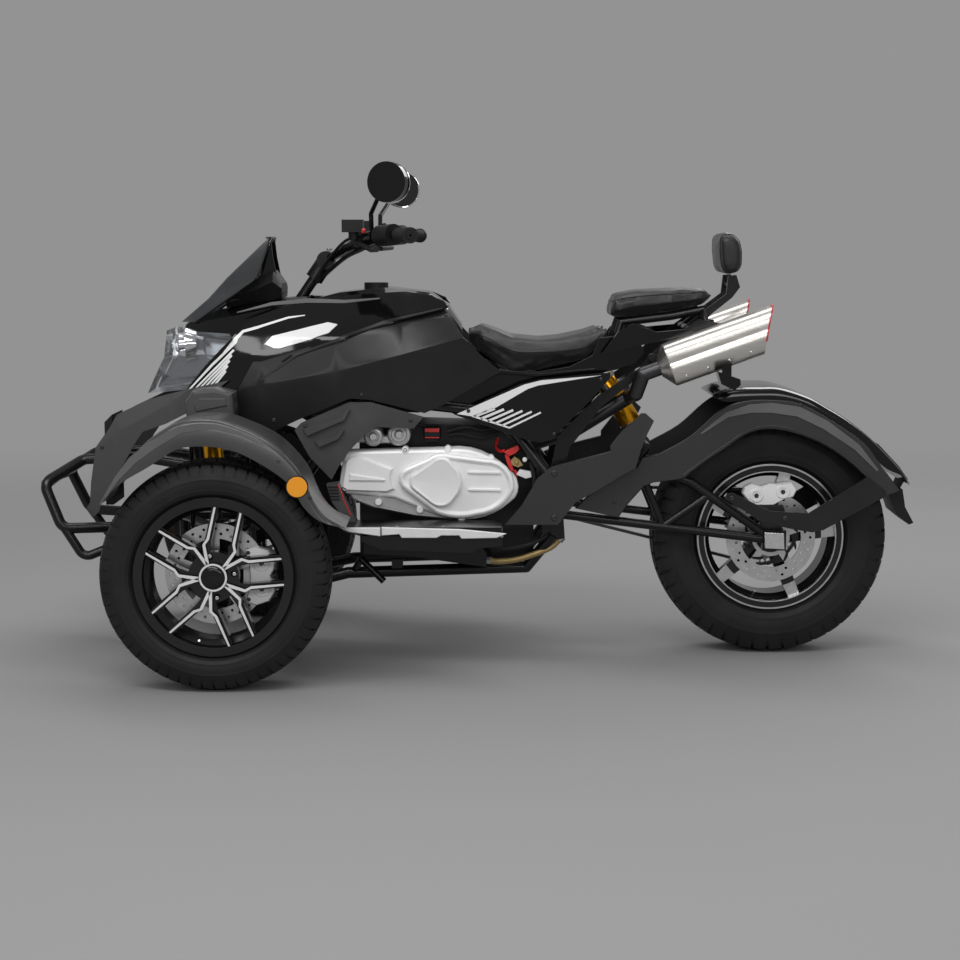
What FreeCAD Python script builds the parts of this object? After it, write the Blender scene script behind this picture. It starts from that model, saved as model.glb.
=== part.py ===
import FreeCAD, Part

import math
import os

os.makedirs("parts", exist_ok=True)

# Reverse-trike motor cycle: two steered wheels in front, one driven wheel behind.
# Millimetres. Origin on the floor, on the centre plane, under the front axle.
# +X points forward, +Y to the rider's left, +Z up.

# ---------------------------------------------------------------- driving dimensions
WHEELBASE = 1420
FRONT_AXLE_TO_MIDDLE = 650
FRONT_TRACK = 985
BEAD_RADIUS = 178            # 14 inch rim seat
RIM_WALL = 5
RIM_FLANGE = 17              # flange height above the bead seat
FLANGE_FOOT = 9              # thickness of the flange at the bead seat
BEAD_CLEARANCE = 0.3
SEAT_GAP = 0.3               # between a piece and what carries it

FRONT_TYRE_RADIUS = 285
FRONT_TYRE_WIDTH = 165
FRONT_RIM_WIDTH = 142
REAR_TYRE_RADIUS = 314
REAR_TYRE_WIDTH = 195
REAR_RIM_WIDTH = 165
TYRE_WALL = 12

FRONT_DISC_RADIUS = 125
REAR_DISC_RADIUS = 118
DISC_THICKNESS = 5
FRONT_DISC_Y = 498
CALIPER_INNER = 22           # caliper's inboard face from the disc
HUB_RADIUS = 34
HUB_BARREL = 45              # how far the front hub reaches inboard of the spokes
SPROCKET_RADIUS = 98
SPROCKET_Y = -(REAR_TYRE_WIDTH / 2 + 14.5)
REAR_DISC_Y = 90
SPROCKET_TEETH = 40
FRONT_AXLE_RADIUS = 14
REAR_AXLE_RADIUS = 12
AXLE_CLEARANCE = 0.4

KINGPIN_Y = 430              # steering axis of each front wheel, from the centre plane
KINGPIN_RADIUS = 10
BALL_RISE = 100              # upper and lower ball joints above and below the axle
SHOCK_TOP = (34, 306, 655)   # front shock absorber, left side
SHOCK_LOW = (0, 335, 222)
SHOCK_PIN = 6
REAR_SHOCK_TOP = (-962, 0, 757)
REAR_SHOCK_LOW = (-1085, 0, 560)
REAR_SHOCK_PIN = 10
SPRING_RADIUS = 24
STEERING_ARM = 90            # kingpin to tie rod, and pitman shaft to tie rod
TIE_ROD_RADIUS = 7
TIE_ROD_DROP = 45            # tie rods below the front axle
PIN_CLEARANCE = 0.4
RUNNING_GAP = 6              # between parts that move past each other

STEM_TOP = (-240, 1045)      # x, z of the handlebar clamp
STEM_BOTTOM = (0, 694)       # x, z of the universal joint
STEM_RADIUS = 14
BAR_RADIUS = 11
GRIP_RADIUS = 17
BAR_END_HOLE = 3
MIRROR_RADIUS = 50

FRAME_TUBE = 15
SUBFRAME_TUBE = 11
ARM_TUBE = 11
BUMPER_TUBE = 14
STAY_THICKNESS = 6
PANEL_WALL = 4
FRAME_HALF_WIDTH = 125
ARM_PIVOT_Y = 150
ARM_PIVOT_X = 125

MUFFLER_RADIUS = 50
MUFFLER_Y = 225
MUFFLER_FRONT = (-1135, MUFFLER_Y, 782)
MUFFLER_REAR = (-1382, MUFFLER_Y, 872)
MUFFLER_NOSE = 28
PIPE_RADIUS = 19
RAIL_Y = 149.7               # inner face of the rear frame rails
RAIL_THICKNESS = 10
SWINGARM_PIVOT = (-840, 385)
PIVOT_RADIUS = 9
SWINGARM_Y = 140
PIVOT_PLATE_Y = 160          # inner face of the frame's pivot plates
SPAR_END = (-700, 125, 650)
SHROUD_Y = 160               # inner face of the rear arm shrouds
SHROUD_THICKNESS = 12
COVER_BOSS = 7
CAP_RADIUS = 32
PLATE_HOLE = 3
PLATE_HOLE_Y = 50
PLATE_THICKNESS = 5
PLATE_LOW = (-1752.5, 500.3)
PLATE_HIGH = (-1695.5, 560.3)
GRAB_CROSS = (-1197, 866)    # x, z of the rail under the pillion seat
ENGINE_MOUNTS = (-430, -690)
FOOT_Y = 124
BOARD_TOP = 378
ENGINE_BOTTOM = 262
ENGINE_HALF_WIDTH = 100
HEADLIGHT_BACK = 62

REAR_AXLE_X = -WHEELBASE
FRONT_WHEEL_Y = FRONT_TRACK / 2
LEFT = 1
RIGHT = -1


# ---------------------------------------------------------------- building blocks
def vec(x, y, z):
    return FreeCAD.Vector(x, y, z)


def closed_wire(points):
    return Part.makePolygon(points + [points[0]])


def plate_xz(outline, y0, y1):
    """Flat plate whose outline is (x, z) pairs, from y0 to y1."""
    face = Part.Face(closed_wire([vec(x, y0, z) for x, z in outline]))
    return face.extrude(vec(0, y1 - y0, 0))


def plate_xy(outline, z0, z1):
    face = Part.Face(closed_wire([vec(x, y, z0) for x, y in outline]))
    return face.extrude(vec(0, 0, z1 - z0))


def plate_yz(outline, x0, x1):
    face = Part.Face(closed_wire([vec(x0, y, z) for y, z in outline]))
    return face.extrude(vec(x1 - x0, 0, 0))


def block(x0, x1, y0, y1, z0, z1):
    return Part.makeBox(x1 - x0, y1 - y0, z1 - z0, vec(x0, y0, z0))


def rod(start, end, radius):
    a, b = vec(*start), vec(*end)
    return Part.makeCylinder(radius, a.distanceToPoint(b), a, b - a)


def ball(centre, radius):
    return Part.makeSphere(radius, vec(*centre))


def disc_y(x, z, radius, y0, y1):
    """Cylinder along Y."""
    return rod((x, min(y0, y1), z), (x, max(y0, y1), z), radius)


def ring_y(x, z, outer, inner, y0, y1):
    return disc_y(x, z, outer, y0, y1).cut(disc_y(x, z, inner, y0 - 1, y1 + 1))


def fuse(shapes):
    first, rest = shapes[0], shapes[1:]
    return first.fuse(rest).removeSplitter() if rest else first


def welded(points, radius):
    """Straight tubes from point to point, with round welded corners."""
    pieces = [rod(a, b, radius) for a, b in zip(points, points[1:])]
    pieces += [ball(p, radius) for p in points[1:-1]]
    return fuse(pieces)


def bent_tube(points, radius, bend):
    """One tube along straight runs joined by tangent arcs of the bend radius."""
    points = [vec(*p) for p in points]
    edges = []
    start = points[0]
    for before, corner, after in zip(points, points[1:], points[2:]):
        a = (before - corner).normalize()
        b = (after - corner).normalize()
        half = a.getAngle(b) / 2
        trim = bend / math.tan(half)
        into, out = corner + a * trim, corner + b * trim
        middle = (a + b).normalize()
        apex = corner + middle * (bend / math.sin(half) - bend)
        edges.append(Part.LineSegment(start, into).toShape())
        edges.append(Part.Arc(into, apex, out).toShape())
        start = out
    edges.append(Part.LineSegment(start, points[-1]).toShape())
    path = Part.Wire(edges)
    circle = Part.makeCircle(radius, points[0], points[1] - points[0])
    return path.makePipeShell([Part.Wire(circle)], True, False)


def mirrored(shape):
    return shape.mirror(vec(0, 0, 0), vec(0, 1, 0))


def both_sides(shape):
    return Part.Compound([shape, mirrored(shape)])


def loft(wires):
    return Part.makeLoft(wires, True, True)


def hull_x(rows):
    """Solid symmetric about the centre plane. Each row: x, then (y, z) pairs going up."""
    wires = []
    for x, *side in rows:
        left = [vec(x, y, z) for y, z in side]
        right = [vec(x, -y, z) for y, z in reversed(side)]
        wires.append(closed_wire(left + right))
    return loft(wires)


def skin_x(rows, wall):
    """Left-hand skin of one wall thickness. Each row: x, then (y, z) pairs going up."""
    wires = []
    for x, *side in rows:
        outer = [vec(x, y, z) for y, z in side]
        inner = [vec(x, y - wall, z) for y, z in reversed(side)]
        wires.append(closed_wire(outer + inner))
    return loft(wires)


def panel(skin, outline):
    """The part of a skin inside an (x, z) outline."""
    return skin.common(plate_xz(outline, 0, 900))


def revolve_y(profile, x, z, y):
    """Solid of revolution about an axis along Y. Profile: (radius, offset in Y) pairs."""
    face = Part.Face(closed_wire([vec(x + r, y + dy, z) for r, dy in profile]))
    return face.revolve(vec(x, y, z), vec(0, 1, 0), 360)


def write(name, *shapes):
    """One file for a node, moved from the front axle's origin to the middle of the overall length."""
    shape = shapes[0] if len(shapes) == 1 else Part.Compound(list(shapes))
    shape.translated(FreeCAD.Vector(FRONT_AXLE_TO_MIDDLE, 0, 0)).exportStep("parts/" + name + ".step")


# ---------------------------------------------------------------- wheels
def tyre(x, y, z, radius, width, rim_width):
    """Tyre cross-section, bead to bead over the tread and back along the inside."""
    half = width / 2
    bead = BEAD_RADIUS + BEAD_CLEARANCE
    bead_half = rim_width / 2 - FLANGE_FOOT - BEAD_CLEARANCE
    outer = [(bead, bead_half), (bead + RIM_FLANGE + 1, bead_half), (bead + RIM_FLANGE + 10, half - 6),
             (bead + 55, half),
             (radius - 26, half - 6), (radius - 8, half - 24), (radius, half - 48)]
    inner = [(radius - TYRE_WALL, half - 48), (radius - TYRE_WALL - 8, half - 34),
             (bead + 50, half - TYRE_WALL), (bead, bead_half - TYRE_WALL)]
    over = outer + [(r, -dy) for r, dy in reversed(outer)]
    back = [(r, -dy) for r, dy in reversed(inner)] + inner
    return revolve_y(over + back, x, z, y)


def rim_barrel(x, y, z, width):
    """Drop-centre barrel with a flange on each side."""
    half = width / 2
    seat = BEAD_RADIUS
    well = seat - 14
    outer = [(seat + RIM_FLANGE, half), (seat + RIM_FLANGE, half - 4), (seat, half - FLANGE_FOOT),
             (seat, half - 30), (well, half - 42)]
    inner = [(well - RIM_WALL, half - 42), (seat - RIM_WALL, half - 30), (seat - RIM_WALL, half)]
    over = outer + [(r, -dy) for r, dy in reversed(outer)]
    back = [(r, -dy) for r, dy in reversed(inner)] + inner
    return revolve_y(over + back, x, z, y)


def polar(angle, radius, side=0):
    """(x, z) at an angle in degrees, stepped sideways."""
    a = math.radians(angle)
    return (radius * math.cos(a) - side * math.sin(a), radius * math.sin(a) + side * math.cos(a))


def front_rim(hand):
    """Five pairs of bent spokes: each pair runs parallel to the rim, then meets its neighbours."""
    y = hand * FRONT_WHEEL_Y
    z = FRONT_TYRE_RADIUS
    half = FRONT_RIM_WIDTH / 2
    pair_offset, spoke_half = 32, 8
    bend_radius, root_radius = 82, 38
    outer_y = y + hand * (half - 12)
    inner_y = y + hand * (half - 40)
    low, high = sorted((outer_y, inner_y))
    pieces = [rim_barrel(0, y, z, FRONT_RIM_WIDTH)]
    for k in range(5):
        centre = 103 + 72 * k
        for lean in (-1, 1):
            tip = polar(centre, BEAD_RADIUS - 8, lean * pair_offset)
            knee = polar(centre, bend_radius, lean * pair_offset)
            root = polar(centre + lean * 36, root_radius)
            pieces.append(spoke(tip, knee, z, spoke_half, low, high))
            pieces.append(spoke(knee, root, z, spoke_half, low, high))
            pieces.append(disc_y(knee[0], z + knee[1], spoke_half, low, high))
    hub_inner = inner_y - hand * HUB_BARREL
    pieces.append(disc_y(0, z, 62, low, high))
    pieces.append(disc_y(0, z, HUB_RADIUS, inner_y, hub_inner))
    hub = fuse(pieces)
    hub = hub.cut(disc_y(0, z, FRONT_AXLE_RADIUS + AXLE_CLEARANCE, hub_inner - hand, outer_y - hand * 10))
    for k in range(4):
        lx, lz = polar(81 + 90 * k, 50)
        hub = hub.cut(disc_y(lx, z + lz, 8, outer_y - hand * 14, outer_y + hand * 1))
    return hub


def spoke(a, b, z, half, y0, y1):
    """Straight bar between two (x, z) points about the wheel centre."""
    dx, dz = b[0] - a[0], b[1] - a[1]
    length = math.hypot(dx, dz)
    nx, nz = -dz / length * half, dx / length * half
    corners = [(a[0] + nx, z + a[1] + nz), (b[0] + nx, z + b[1] + nz),
               (b[0] - nx, z + b[1] - nz), (a[0] - nx, z + a[1] - nz)]
    return plate_xz(corners, y0, y1)


def rear_rim():
    """Five straight spokes that narrow towards the rim."""
    z = REAR_TYRE_RADIUS
    half = REAR_RIM_WIDTH / 2
    y0, y1 = half - 46, half - 14
    pieces = [rim_barrel(REAR_AXLE_X, 0, z, REAR_RIM_WIDTH)]
    for k in range(5):
        angle = 103 + 72 * k
        inner, outer = polar(angle, 30, 22), polar(angle, BEAD_RADIUS - 2, 15)
        inner2, outer2 = polar(angle, 30, -22), polar(angle, BEAD_RADIUS - 2, -15)
        corners = [(REAR_AXLE_X + px, z + pz) for px, pz in (inner, outer, outer2, inner2)]
        pieces.append(plate_xz(corners, y0, y1))
    pieces.append(disc_y(REAR_AXLE_X, z, 52, -half + 30, y1))
    pieces.append(disc_y(REAR_AXLE_X, z, HUB_RADIUS, SPROCKET_Y - 8, REAR_DISC_Y + 8))
    hub = fuse(pieces)
    bore = REAR_AXLE_RADIUS + AXLE_CLEARANCE
    return hub.cut(disc_y(REAR_AXLE_X, z, bore, SPROCKET_Y - 20, REAR_DISC_Y + 20))


def brake_disc(x, y, z, radius, holes, bore):
    """Perforated ring with a five-arm carrier."""
    y0, y1 = y - DISC_THICKNESS / 2, y + DISC_THICKNESS / 2
    ring = ring_y(x, z, radius, radius - 38, y0, y1)
    arms = []
    for k in range(5):
        a, b = polar(90 + 72 * k, bore + 2), polar(90 + 72 * k, radius - 36)
        arms.append(spoke((a[0] + x, a[1]), (b[0] + x, b[1]), z, 9, y0, y1))
    carrier = ring_y(x, z, bore + 16, bore, y0, y1)
    disc = fuse([ring, carrier] + arms)
    drills = []
    for k in range(holes):
        for row in range(2):
            dx, dz = polar(360 / holes * (k + row / 2), radius - 13 - 13 * row)
            drills.append(disc_y(x + dx, z + dz, 3.5, y0 - 1, y1 + 1))
    return disc.cut(drills)


def sprocket():
    """Toothed ring on five arms."""
    z = REAR_TYRE_RADIUS
    y0, y1 = SPROCKET_Y - 3, SPROCKET_Y + 3
    outline = []
    for k in range(SPROCKET_TEETH):
        for share, r in ((-0.3, SPROCKET_RADIUS - 7), (-0.12, SPROCKET_RADIUS),
                         (0.12, SPROCKET_RADIUS), (0.3, SPROCKET_RADIUS - 7)):
            px, pz = polar(360 * (k + share) / SPROCKET_TEETH, r)
            outline.append((REAR_AXLE_X + px, z + pz))
    toothed = plate_xz(outline, y0, y1).cut(disc_y(REAR_AXLE_X, z, SPROCKET_RADIUS - 22, y0 - 1, y1 + 1))
    bore = HUB_RADIUS + BEAD_CLEARANCE
    pieces = [toothed, ring_y(REAR_AXLE_X, z, bore + 16, bore, y0, y1)]
    for k in range(5):
        a, b = polar(90 + 72 * k, bore + 2), polar(90 + 72 * k, SPROCKET_RADIUS - 20)
        pieces.append(spoke((a[0] + REAR_AXLE_X, a[1]), (b[0] + REAR_AXLE_X, b[1]), z, 9, y0, y1))
    return fuse(pieces)


# ---------------------------------------------------------------- front suspension and steering
def ball_z(upper):
    return FRONT_TYRE_RADIUS + (BALL_RISE if upper else -BALL_RISE)


def arm(upper):
    """Left A-arm: two pivot eyes on the frame, one boss round the kingpin."""
    z = ball_z(upper)
    eye_y = ARM_PIVOT_Y + 28
    pieces = []
    holes = [rod((0, KINGPIN_Y, z - 20), (0, KINGPIN_Y, z + 20), KINGPIN_RADIUS + PIN_CLEARANCE)]
    for x in (-ARM_PIVOT_X, ARM_PIVOT_X):
        pieces.append(rod((x - 14, eye_y, z), (x + 14, eye_y, z), 13))
        pieces.append(rod((x, eye_y, z), (0, KINGPIN_Y, z), ARM_TUBE))
        holes.append(rod((x - 20, eye_y, z), (x + 20, eye_y, z), 6 + PIN_CLEARANCE))
    pieces.append(rod((0, KINGPIN_Y, z - 13), (0, KINGPIN_Y, z + 13), 22))
    if not upper:
        sx, sy, sz = SHOCK_LOW
        reach = ARM_PIVOT_X * (KINGPIN_Y - sy) / (KINGPIN_Y - eye_y)
        pieces.append(rod((-reach, sy, z), (reach, sy, z), ARM_TUBE))
        pieces += [block(sx + side * 18 - 3, sx + side * 18 + 3, sy - 14, sy + 14, z, sz + 14)
                   for side in (-1, 1)]
        pieces.append(rod((sx - 21, sy, sz), (sx + 21, sy, sz), SHOCK_PIN))
    return fuse(pieces).cut(holes)


def clevis(x, y, z):
    """Two lugs and a pin along X that hold one arm eye."""
    lugs = [block(x + side * 21 - 3, x + side * 21 + 3, y + 5, y + 38, z - 13, z + 13)
            for side in (-1, 1)]
    return lugs + [rod((x - 24, y + 28, z), (x + 24, y + 28, z), 6)]


def knuckle(hand):
    """Upright with kingpin stubs, wheel spindle, steering arm and fender bracket."""
    z = FRONT_TYRE_RADIUS
    low, high = ball_z(False), ball_z(True)
    pin_z = tie_rod_z(hand)
    hub_inner = FRONT_WHEEL_Y + FRONT_RIM_WIDTH / 2 - 40 - HUB_BARREL
    pieces = [
        rod((0, KINGPIN_Y, low - 13), (0, KINGPIN_Y, high + 13), KINGPIN_RADIUS),
        block(-24, 24, KINGPIN_Y - 20, KINGPIN_Y + 22, low + 15, high - 15),
        rod((0, KINGPIN_Y, z), (0, hub_inner - 1, z), 30),
        rod((0, KINGPIN_Y, z), (0, FRONT_WHEEL_Y + FRONT_RIM_WIDTH / 2 - 24, z), FRONT_AXLE_RADIUS),
        block(-STEERING_ARM - 12, -20, KINGPIN_Y - 11, KINGPIN_Y + 11, pin_z - 16, pin_z - 8),
        rod((-STEERING_ARM, KINGPIN_Y, pin_z - 10), (-STEERING_ARM, KINGPIN_Y, pin_z + 8), 6),
        block(-108, -20, KINGPIN_Y + 10, KINGPIN_Y + 22, z - 25, z + 35),
        block(-108, -84, KINGPIN_Y + 10, FRONT_DISC_Y - CALIPER_INNER - SEAT_GAP, z - 25, z + 35),
    ]
    for x in (-FENDER_BRACKET_X, FENDER_BRACKET_X):
        corner = (x, FENDER_BRACKET_Y, FENDER_INNER_Z - 12)
        pieces.append(welded([(x / 4, KINGPIN_Y + 14, high - 40), (x, FENDER_BRACKET_Y, high + 4), corner,
                              (x, FRONT_WHEEL_Y - 40, FENDER_INNER_Z - 12)], 6))
        pieces.append(block(x - 12, x + 12, FRONT_WHEEL_Y - 70, FRONT_WHEEL_Y - 30,
                            FENDER_INNER_Z - 12, min(fender_under(x - 12), fender_under(x + 12)) - SEAT_GAP))
    shape = fuse(pieces)
    return shape if hand == LEFT else mirrored(shape)


def tie_rod_z(hand):
    return FRONT_TYRE_RADIUS - TIE_ROD_DROP + (-8 if hand == LEFT else 8)


def tie_rod(hand):
    z = tie_rod_z(hand)
    x = -STEERING_ARM
    pieces = [rod((x, KINGPIN_Y, z), (x, 0, z), TIE_ROD_RADIUS - 1)]
    holes = []
    for y in (KINGPIN_Y, 0):
        pieces.append(rod((x, y, z - 7), (x, y, z + 7), 13))
        holes.append(rod((x, y, z - 9), (x, y, z + 9), 6 + PIN_CLEARANCE))
    shape = fuse(pieces).cut(holes)
    return shape if hand == LEFT else mirrored(shape)


def pitman():
    """Lower steering shaft with its arm, pin and universal-joint ball."""
    low = tie_rod_z(LEFT) - 16
    top = tie_rod_z(RIGHT) + 9
    return fuse([
        rod((0, 0, low), (0, 0, STEM_BOTTOM[1]), 11),
        ball((0, 0, STEM_BOTTOM[1]), 17),
        block(-STEERING_ARM - 12, 0, -12, 12, low, low + 8),
        rod((-STEERING_ARM, 0, low), (-STEERING_ARM, 0, top), 6),
    ])


def stem_point(distance):
    """Point on the steering stem, measured up from the universal joint."""
    dx, dz = STEM_TOP[0] - STEM_BOTTOM[0], STEM_TOP[1] - STEM_BOTTOM[1]
    length = math.hypot(dx, dz)
    return (STEM_BOTTOM[0] + dx / length * distance, 0, STEM_BOTTOM[1] + dz / length * distance)


STEM_LENGTH = math.hypot(STEM_TOP[0] - STEM_BOTTOM[0], STEM_TOP[1] - STEM_BOTTOM[1])
HEAD_TUBE = (60, 190)        # its two ends along the stem
BAR = [(STEM_TOP[0], 0, STEM_TOP[1]), (-300, 120, 1078), (-385, 230, 1108), (-440, 300, 1112),
       (-478, 420, 1110)]


def steering_stem():
    socket = ball((0, 0, STEM_BOTTOM[1]), 24).cut(ball((0, 0, STEM_BOTTOM[1]), 17 + PIN_CLEARANCE))
    upper_half = rod(stem_point(2), stem_point(60), 60)
    stem = rod(stem_point(20), stem_point(STEM_LENGTH - 12), STEM_RADIUS)
    clamp = rod((STEM_TOP[0], -34, STEM_TOP[1]), (STEM_TOP[0], 34, STEM_TOP[1]), 24)
    riser = rod(stem_point(STEM_LENGTH - 60), stem_point(STEM_LENGTH - 10), 24)
    shape = fuse([socket.common(upper_half), stem, clamp, riser])
    shape = shape.cut(ball((0, 0, STEM_BOTTOM[1]), 17 + PIN_CLEARANCE))
    return shape.cut(bar_solid(0.3))


def bar_solid(extra=0.0):
    """The whole bar from tip to tip, grown by extra."""
    right = [(x, -y, z) for x, y, z in BAR[:0:-1]]
    return bent_tube(right + BAR, BAR_RADIUS + extra, 50)


def along(a, b, distance):
    length = math.dist(a, b)
    return tuple(p + (q - p) * distance / length for p, q in zip(a, b))


def handlebar_tube():
    tip, inner = BAR[-1], BAR[-2]
    hole = rod(along(tip, inner, -1), along(tip, inner, 30), BAR_END_HOLE)
    return bar_solid().cut([hole, mirrored(hole)])


def grip():
    tip, inner = BAR[-1], BAR[-2]
    start = along(tip, inner, 118)
    end = along(tip, inner, 2)
    sleeve = rod(start, end, GRIP_RADIUS).fuse(rod(along(tip, inner, 12), along(tip, inner, 2), 20))
    return sleeve.cut(rod(along(tip, inner, 125), along(tip, inner, -5), BAR_RADIUS + 0.3))


def controls():
    """Left switch pod, brake-fluid reservoir and lever."""
    pod = rod((-395, 236, 1109), (-432, 292, 1112), 27)
    reservoir = block(-350, -296, 175, 225, 1118, 1150)
    neck = rod((-325, 190, 1100), (-325, 190, 1120), 14)
    holder = rod((-330, 158, 1089), (-355, 192, 1098), 19)
    lever = welded([(-335, 195, 1092), (-372, 250, 1074), (-395, 420, 1076)], 7)
    shape = fuse([pod, holder, neck, reservoir, lever, rod((-340, 175, 1090), (-335, 195, 1092), 12)])
    return shape.cut(bar_solid(0.3))


def mirror_head():
    stalk = welded([(-372, 214, 1112), (-372, 240, 1165), (-400, 330, 1215), (-425, 388, 1238)], 6)
    collar = rod((-362, 200, 1102), (-381, 226, 1107), 18)
    centre, front = (-425, 385, 1240), (-425 + 7, 405, 1240)
    shape = fuse([stalk, collar, rod(centre, front, MIRROR_RADIUS)])
    return shape.cut(bar_solid(0.3))


# ---------------------------------------------------------------- front fenders
FENDER_HALF_WIDTH = 100
FENDER_Y = FRONT_WHEEL_Y + 12
FENDER_WALL = 4
FENDER_BRACKET_X = 70
FENDER_BRACKET_Y = 399
# x, z of the outer edge and of the lower edge of the side, front to back
FENDER_TOP = [(268, 470), (235, 525), (195, 572), (145, 625), (70, 668), (-15, 674), (-85, 652),
              (-145, 622), (-190, 582), (-222, 540), (-243, 490), (-262, 455), (-287, 430), (-325, 412)]
FENDER_LOW = [(262, 468), (215, 518), (145, 560), (85, 598), (50, 608), (-10, 608), (-70, 594),
              (-130, 563), (-180, 528), (-205, 498), (-225, 463), (-262, 430), (-325, 410)]
FENDER_INNER_Z = 640


def fender_under(x):
    """Underside of the fender's top at x."""
    for (x1, z1), (x0, z0) in zip(FENDER_TOP, FENDER_TOP[1:]):
        if x0 <= x <= x1:
            return z0 + (z1 - z0) * (x - x0) / (x1 - x0) - FENDER_WALL - 2
    return FENDER_TOP[0][1]


def front_fender():
    """Thin arch over the tyre: a curved top with a side skirt."""
    y0, y1 = FENDER_Y - FENDER_HALF_WIDTH, FENDER_Y + FENDER_HALF_WIDTH
    outer = plate_xz(FENDER_TOP + FENDER_LOW[::-1], y0, y1)
    inner_top = [(x, z - FENDER_WALL - 2) for x, z in FENDER_TOP]
    hollow = plate_xz([(300, 300)] + [(300, inner_top[0][1])] + inner_top + [(-360, 405), (-360, 300)],
                      y0 - 1, y1 - FENDER_WALL)
    return outer.cut(hollow)


# ---------------------------------------------------------------- frame, engine and exhaust
def main_frame():
    """Welded tube frame: front box, upper spars, lower rails, head tube and shock towers."""
    low, high = ball_z(False), ball_z(True)
    w, f = ARM_PIVOT_Y, FRAME_HALF_WIDTH
    x = ARM_PIVOT_X
    px, pz = SWINGARM_PIVOT
    sx, sy, sz = SHOCK_TOP
    head = stem_point(110)
    tubes = [
        [(x, w, low), (x, w, high), (85, w, 520), (30, 48, 745), (head[0] + 4, 20, head[2])],
        [(-x, w, low), (-x, w, high), (-85, w, 520), (-120, 48, 760), (head[0] - 4, 20, head[2])],
        [(x, w, low), (-x, w, low), (-300, f, 225), (-770, f, 240), (px, PIVOT_PLATE_Y + 4, pz - 52)],
        [(x, w, high), (-x, w, high)],
        [(85, w, 520), (-85, w, 520)],
        [(-120, 48, 760), (-330, f, 690), SPAR_END, (px + 14, PIVOT_PLATE_Y + 4, pz + 105)],
        [(-x, w, high), (-330, f, 690)],
        [(85, w, 520), (sx + 48, sy - 30, 610), (sx + 30, sy, sz + 44)],
        [(-85, w, 520), (sx - 48, sy - 30, 610), (sx - 30, sy, sz + 44)],
        [(sx - 30, sy, sz + 44), (sx + 30, sy, sz + 44)],
    ]
    left = [welded(points, FRAME_TUBE) for points in tubes]
    left += [block(sx + side * 18 - 3, sx + side * 18 + 3, sy - 14, sy + 14, sz - 14, sz + 40)
             for side in (-1, 1)]
    left.append(rod((sx - 21, sy, sz), (sx + 21, sy, sz), SHOCK_PIN))
    left.append(welded([(30, 48, 745), (38, 48, 775), (HEADLIGHT_BACK - SEAT_GAP, 48, 775)], 9))
    left.append(plate_xz([(px - 30, pz - 62), (px + 28, pz - 62), (px + 45, pz + 118), (px - 18, pz + 118)],
                         PIVOT_PLATE_Y, PIVOT_PLATE_Y + 8))
    for eye_x in (-x, x):
        for z in (low, high):
            left += clevis(eye_x, w, z)
    for mount_x in ENGINE_MOUNTS:
        left.append(block(mount_x - 15, mount_x + 15, f - 12, f + 12, 228, ENGINE_BOTTOM))
    cross = [rod((ex, -w, z), (ex, w, z), FRAME_TUBE) for ex in (-x, x) for z in (low,)]
    cross.append(rod((x, -w, high), (x, w, high), FRAME_TUBE))
    cross.append(rod((0, -w, 520), (0, w, 520), 12))
    cross.append(rod((0, 0, 505), (0, 0, 535), 24))
    cross.append(rod((px, -PIVOT_PLATE_Y - 4, pz), (px, PIVOT_PLATE_Y + 4, pz), PIVOT_RADIUS))
    cross.append(rod(stem_point(HEAD_TUBE[0]), stem_point(HEAD_TUBE[1]), 26))
    body = fuse(left + [mirrored(s) for s in left] + cross)
    return body.cut([rod(stem_point(30), stem_point(230), STEM_RADIUS + PIN_CLEARANCE),
                     rod((0, 0, 490), (0, 0, 550), 11 + PIN_CLEARANCE)])




def engine_block():
    outline = [(-330, ENGINE_BOTTOM), (-330, 580), (-420, 620), (-690, 612), (-790, 520),
               (-790, ENGINE_BOTTOM)]
    side = ENGINE_HALF_WIDTH
    core = plate_xz(outline, -side, side)
    feet = [block(x - 15, x + 15, side - 5, FOOT_Y, ENGINE_BOTTOM, ENGINE_BOTTOM + 45) for x in ENGINE_MOUNTS]
    casing = [disc_y(-560, 450, 105, -142, -200), disc_y(-560, 450, 60, 5 - side, -145),
              disc_y(-560, 450, 70, -199, -212)]
    return fuse([core] + feet + [mirrored(foot) for foot in feet] + casing)


# x, z of the transmission cover's outline and of its raised centre
CVT_OUTLINE = [(-282, 460), (-290, 500), (-305, 545), (-325, 566), (-375, 570), (-445, 562), (-520, 560),
               (-600, 556), (-655, 548), (-695, 525), (-730, 492), (-745, 465), (-735, 425), (-700, 398),
               (-645, 384), (-590, 378), (-540, 384), (-505, 400), (-450, 425), (-330, 435), (-290, 445)]
CVT_RAISED = [(-440, 470), (-458, 500), (-495, 528), (-520, 542), (-640, 542), (-690, 520), (-722, 492),
              (-732, 468), (-725, 435), (-690, 405), (-645, 392), (-530, 392), (-505, 404), (-458, 445)]
COVER_INNER_Y = 142


def cvt_cover():
    base = plate_xz(CVT_OUTLINE, COVER_INNER_Y, 212)
    raised = plate_xz(CVT_RAISED, 205, 240)
    cap = disc_y(-532, 474, 70, 235, 248)
    ribs = [plate_xz([(-625, z), (-700, z - 8), (-700, z - 14), (-625, z - 6)], 238, 246) for z in (505, 455)]
    stub = disc_y(-532, 474, 60, ENGINE_HALF_WIDTH, COVER_INNER_Y + 5)
    return fuse([base, raised, cap, stub] + ribs)


def exhaust_pipes():
    nose = along(MUFFLER_FRONT, MUFFLER_REAR, -MUFFLER_NOSE)
    before = along(MUFFLER_FRONT, MUFFLER_REAR, -MUFFLER_NOSE - 45)
    route = [(-740, 60, 545), (-900, 80, 600), (-1040, 108, 690), (-1050, 200, 704), before, nose]
    return both_sides(welded(route, PIPE_RADIUS).cut(engine_block()))


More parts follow.
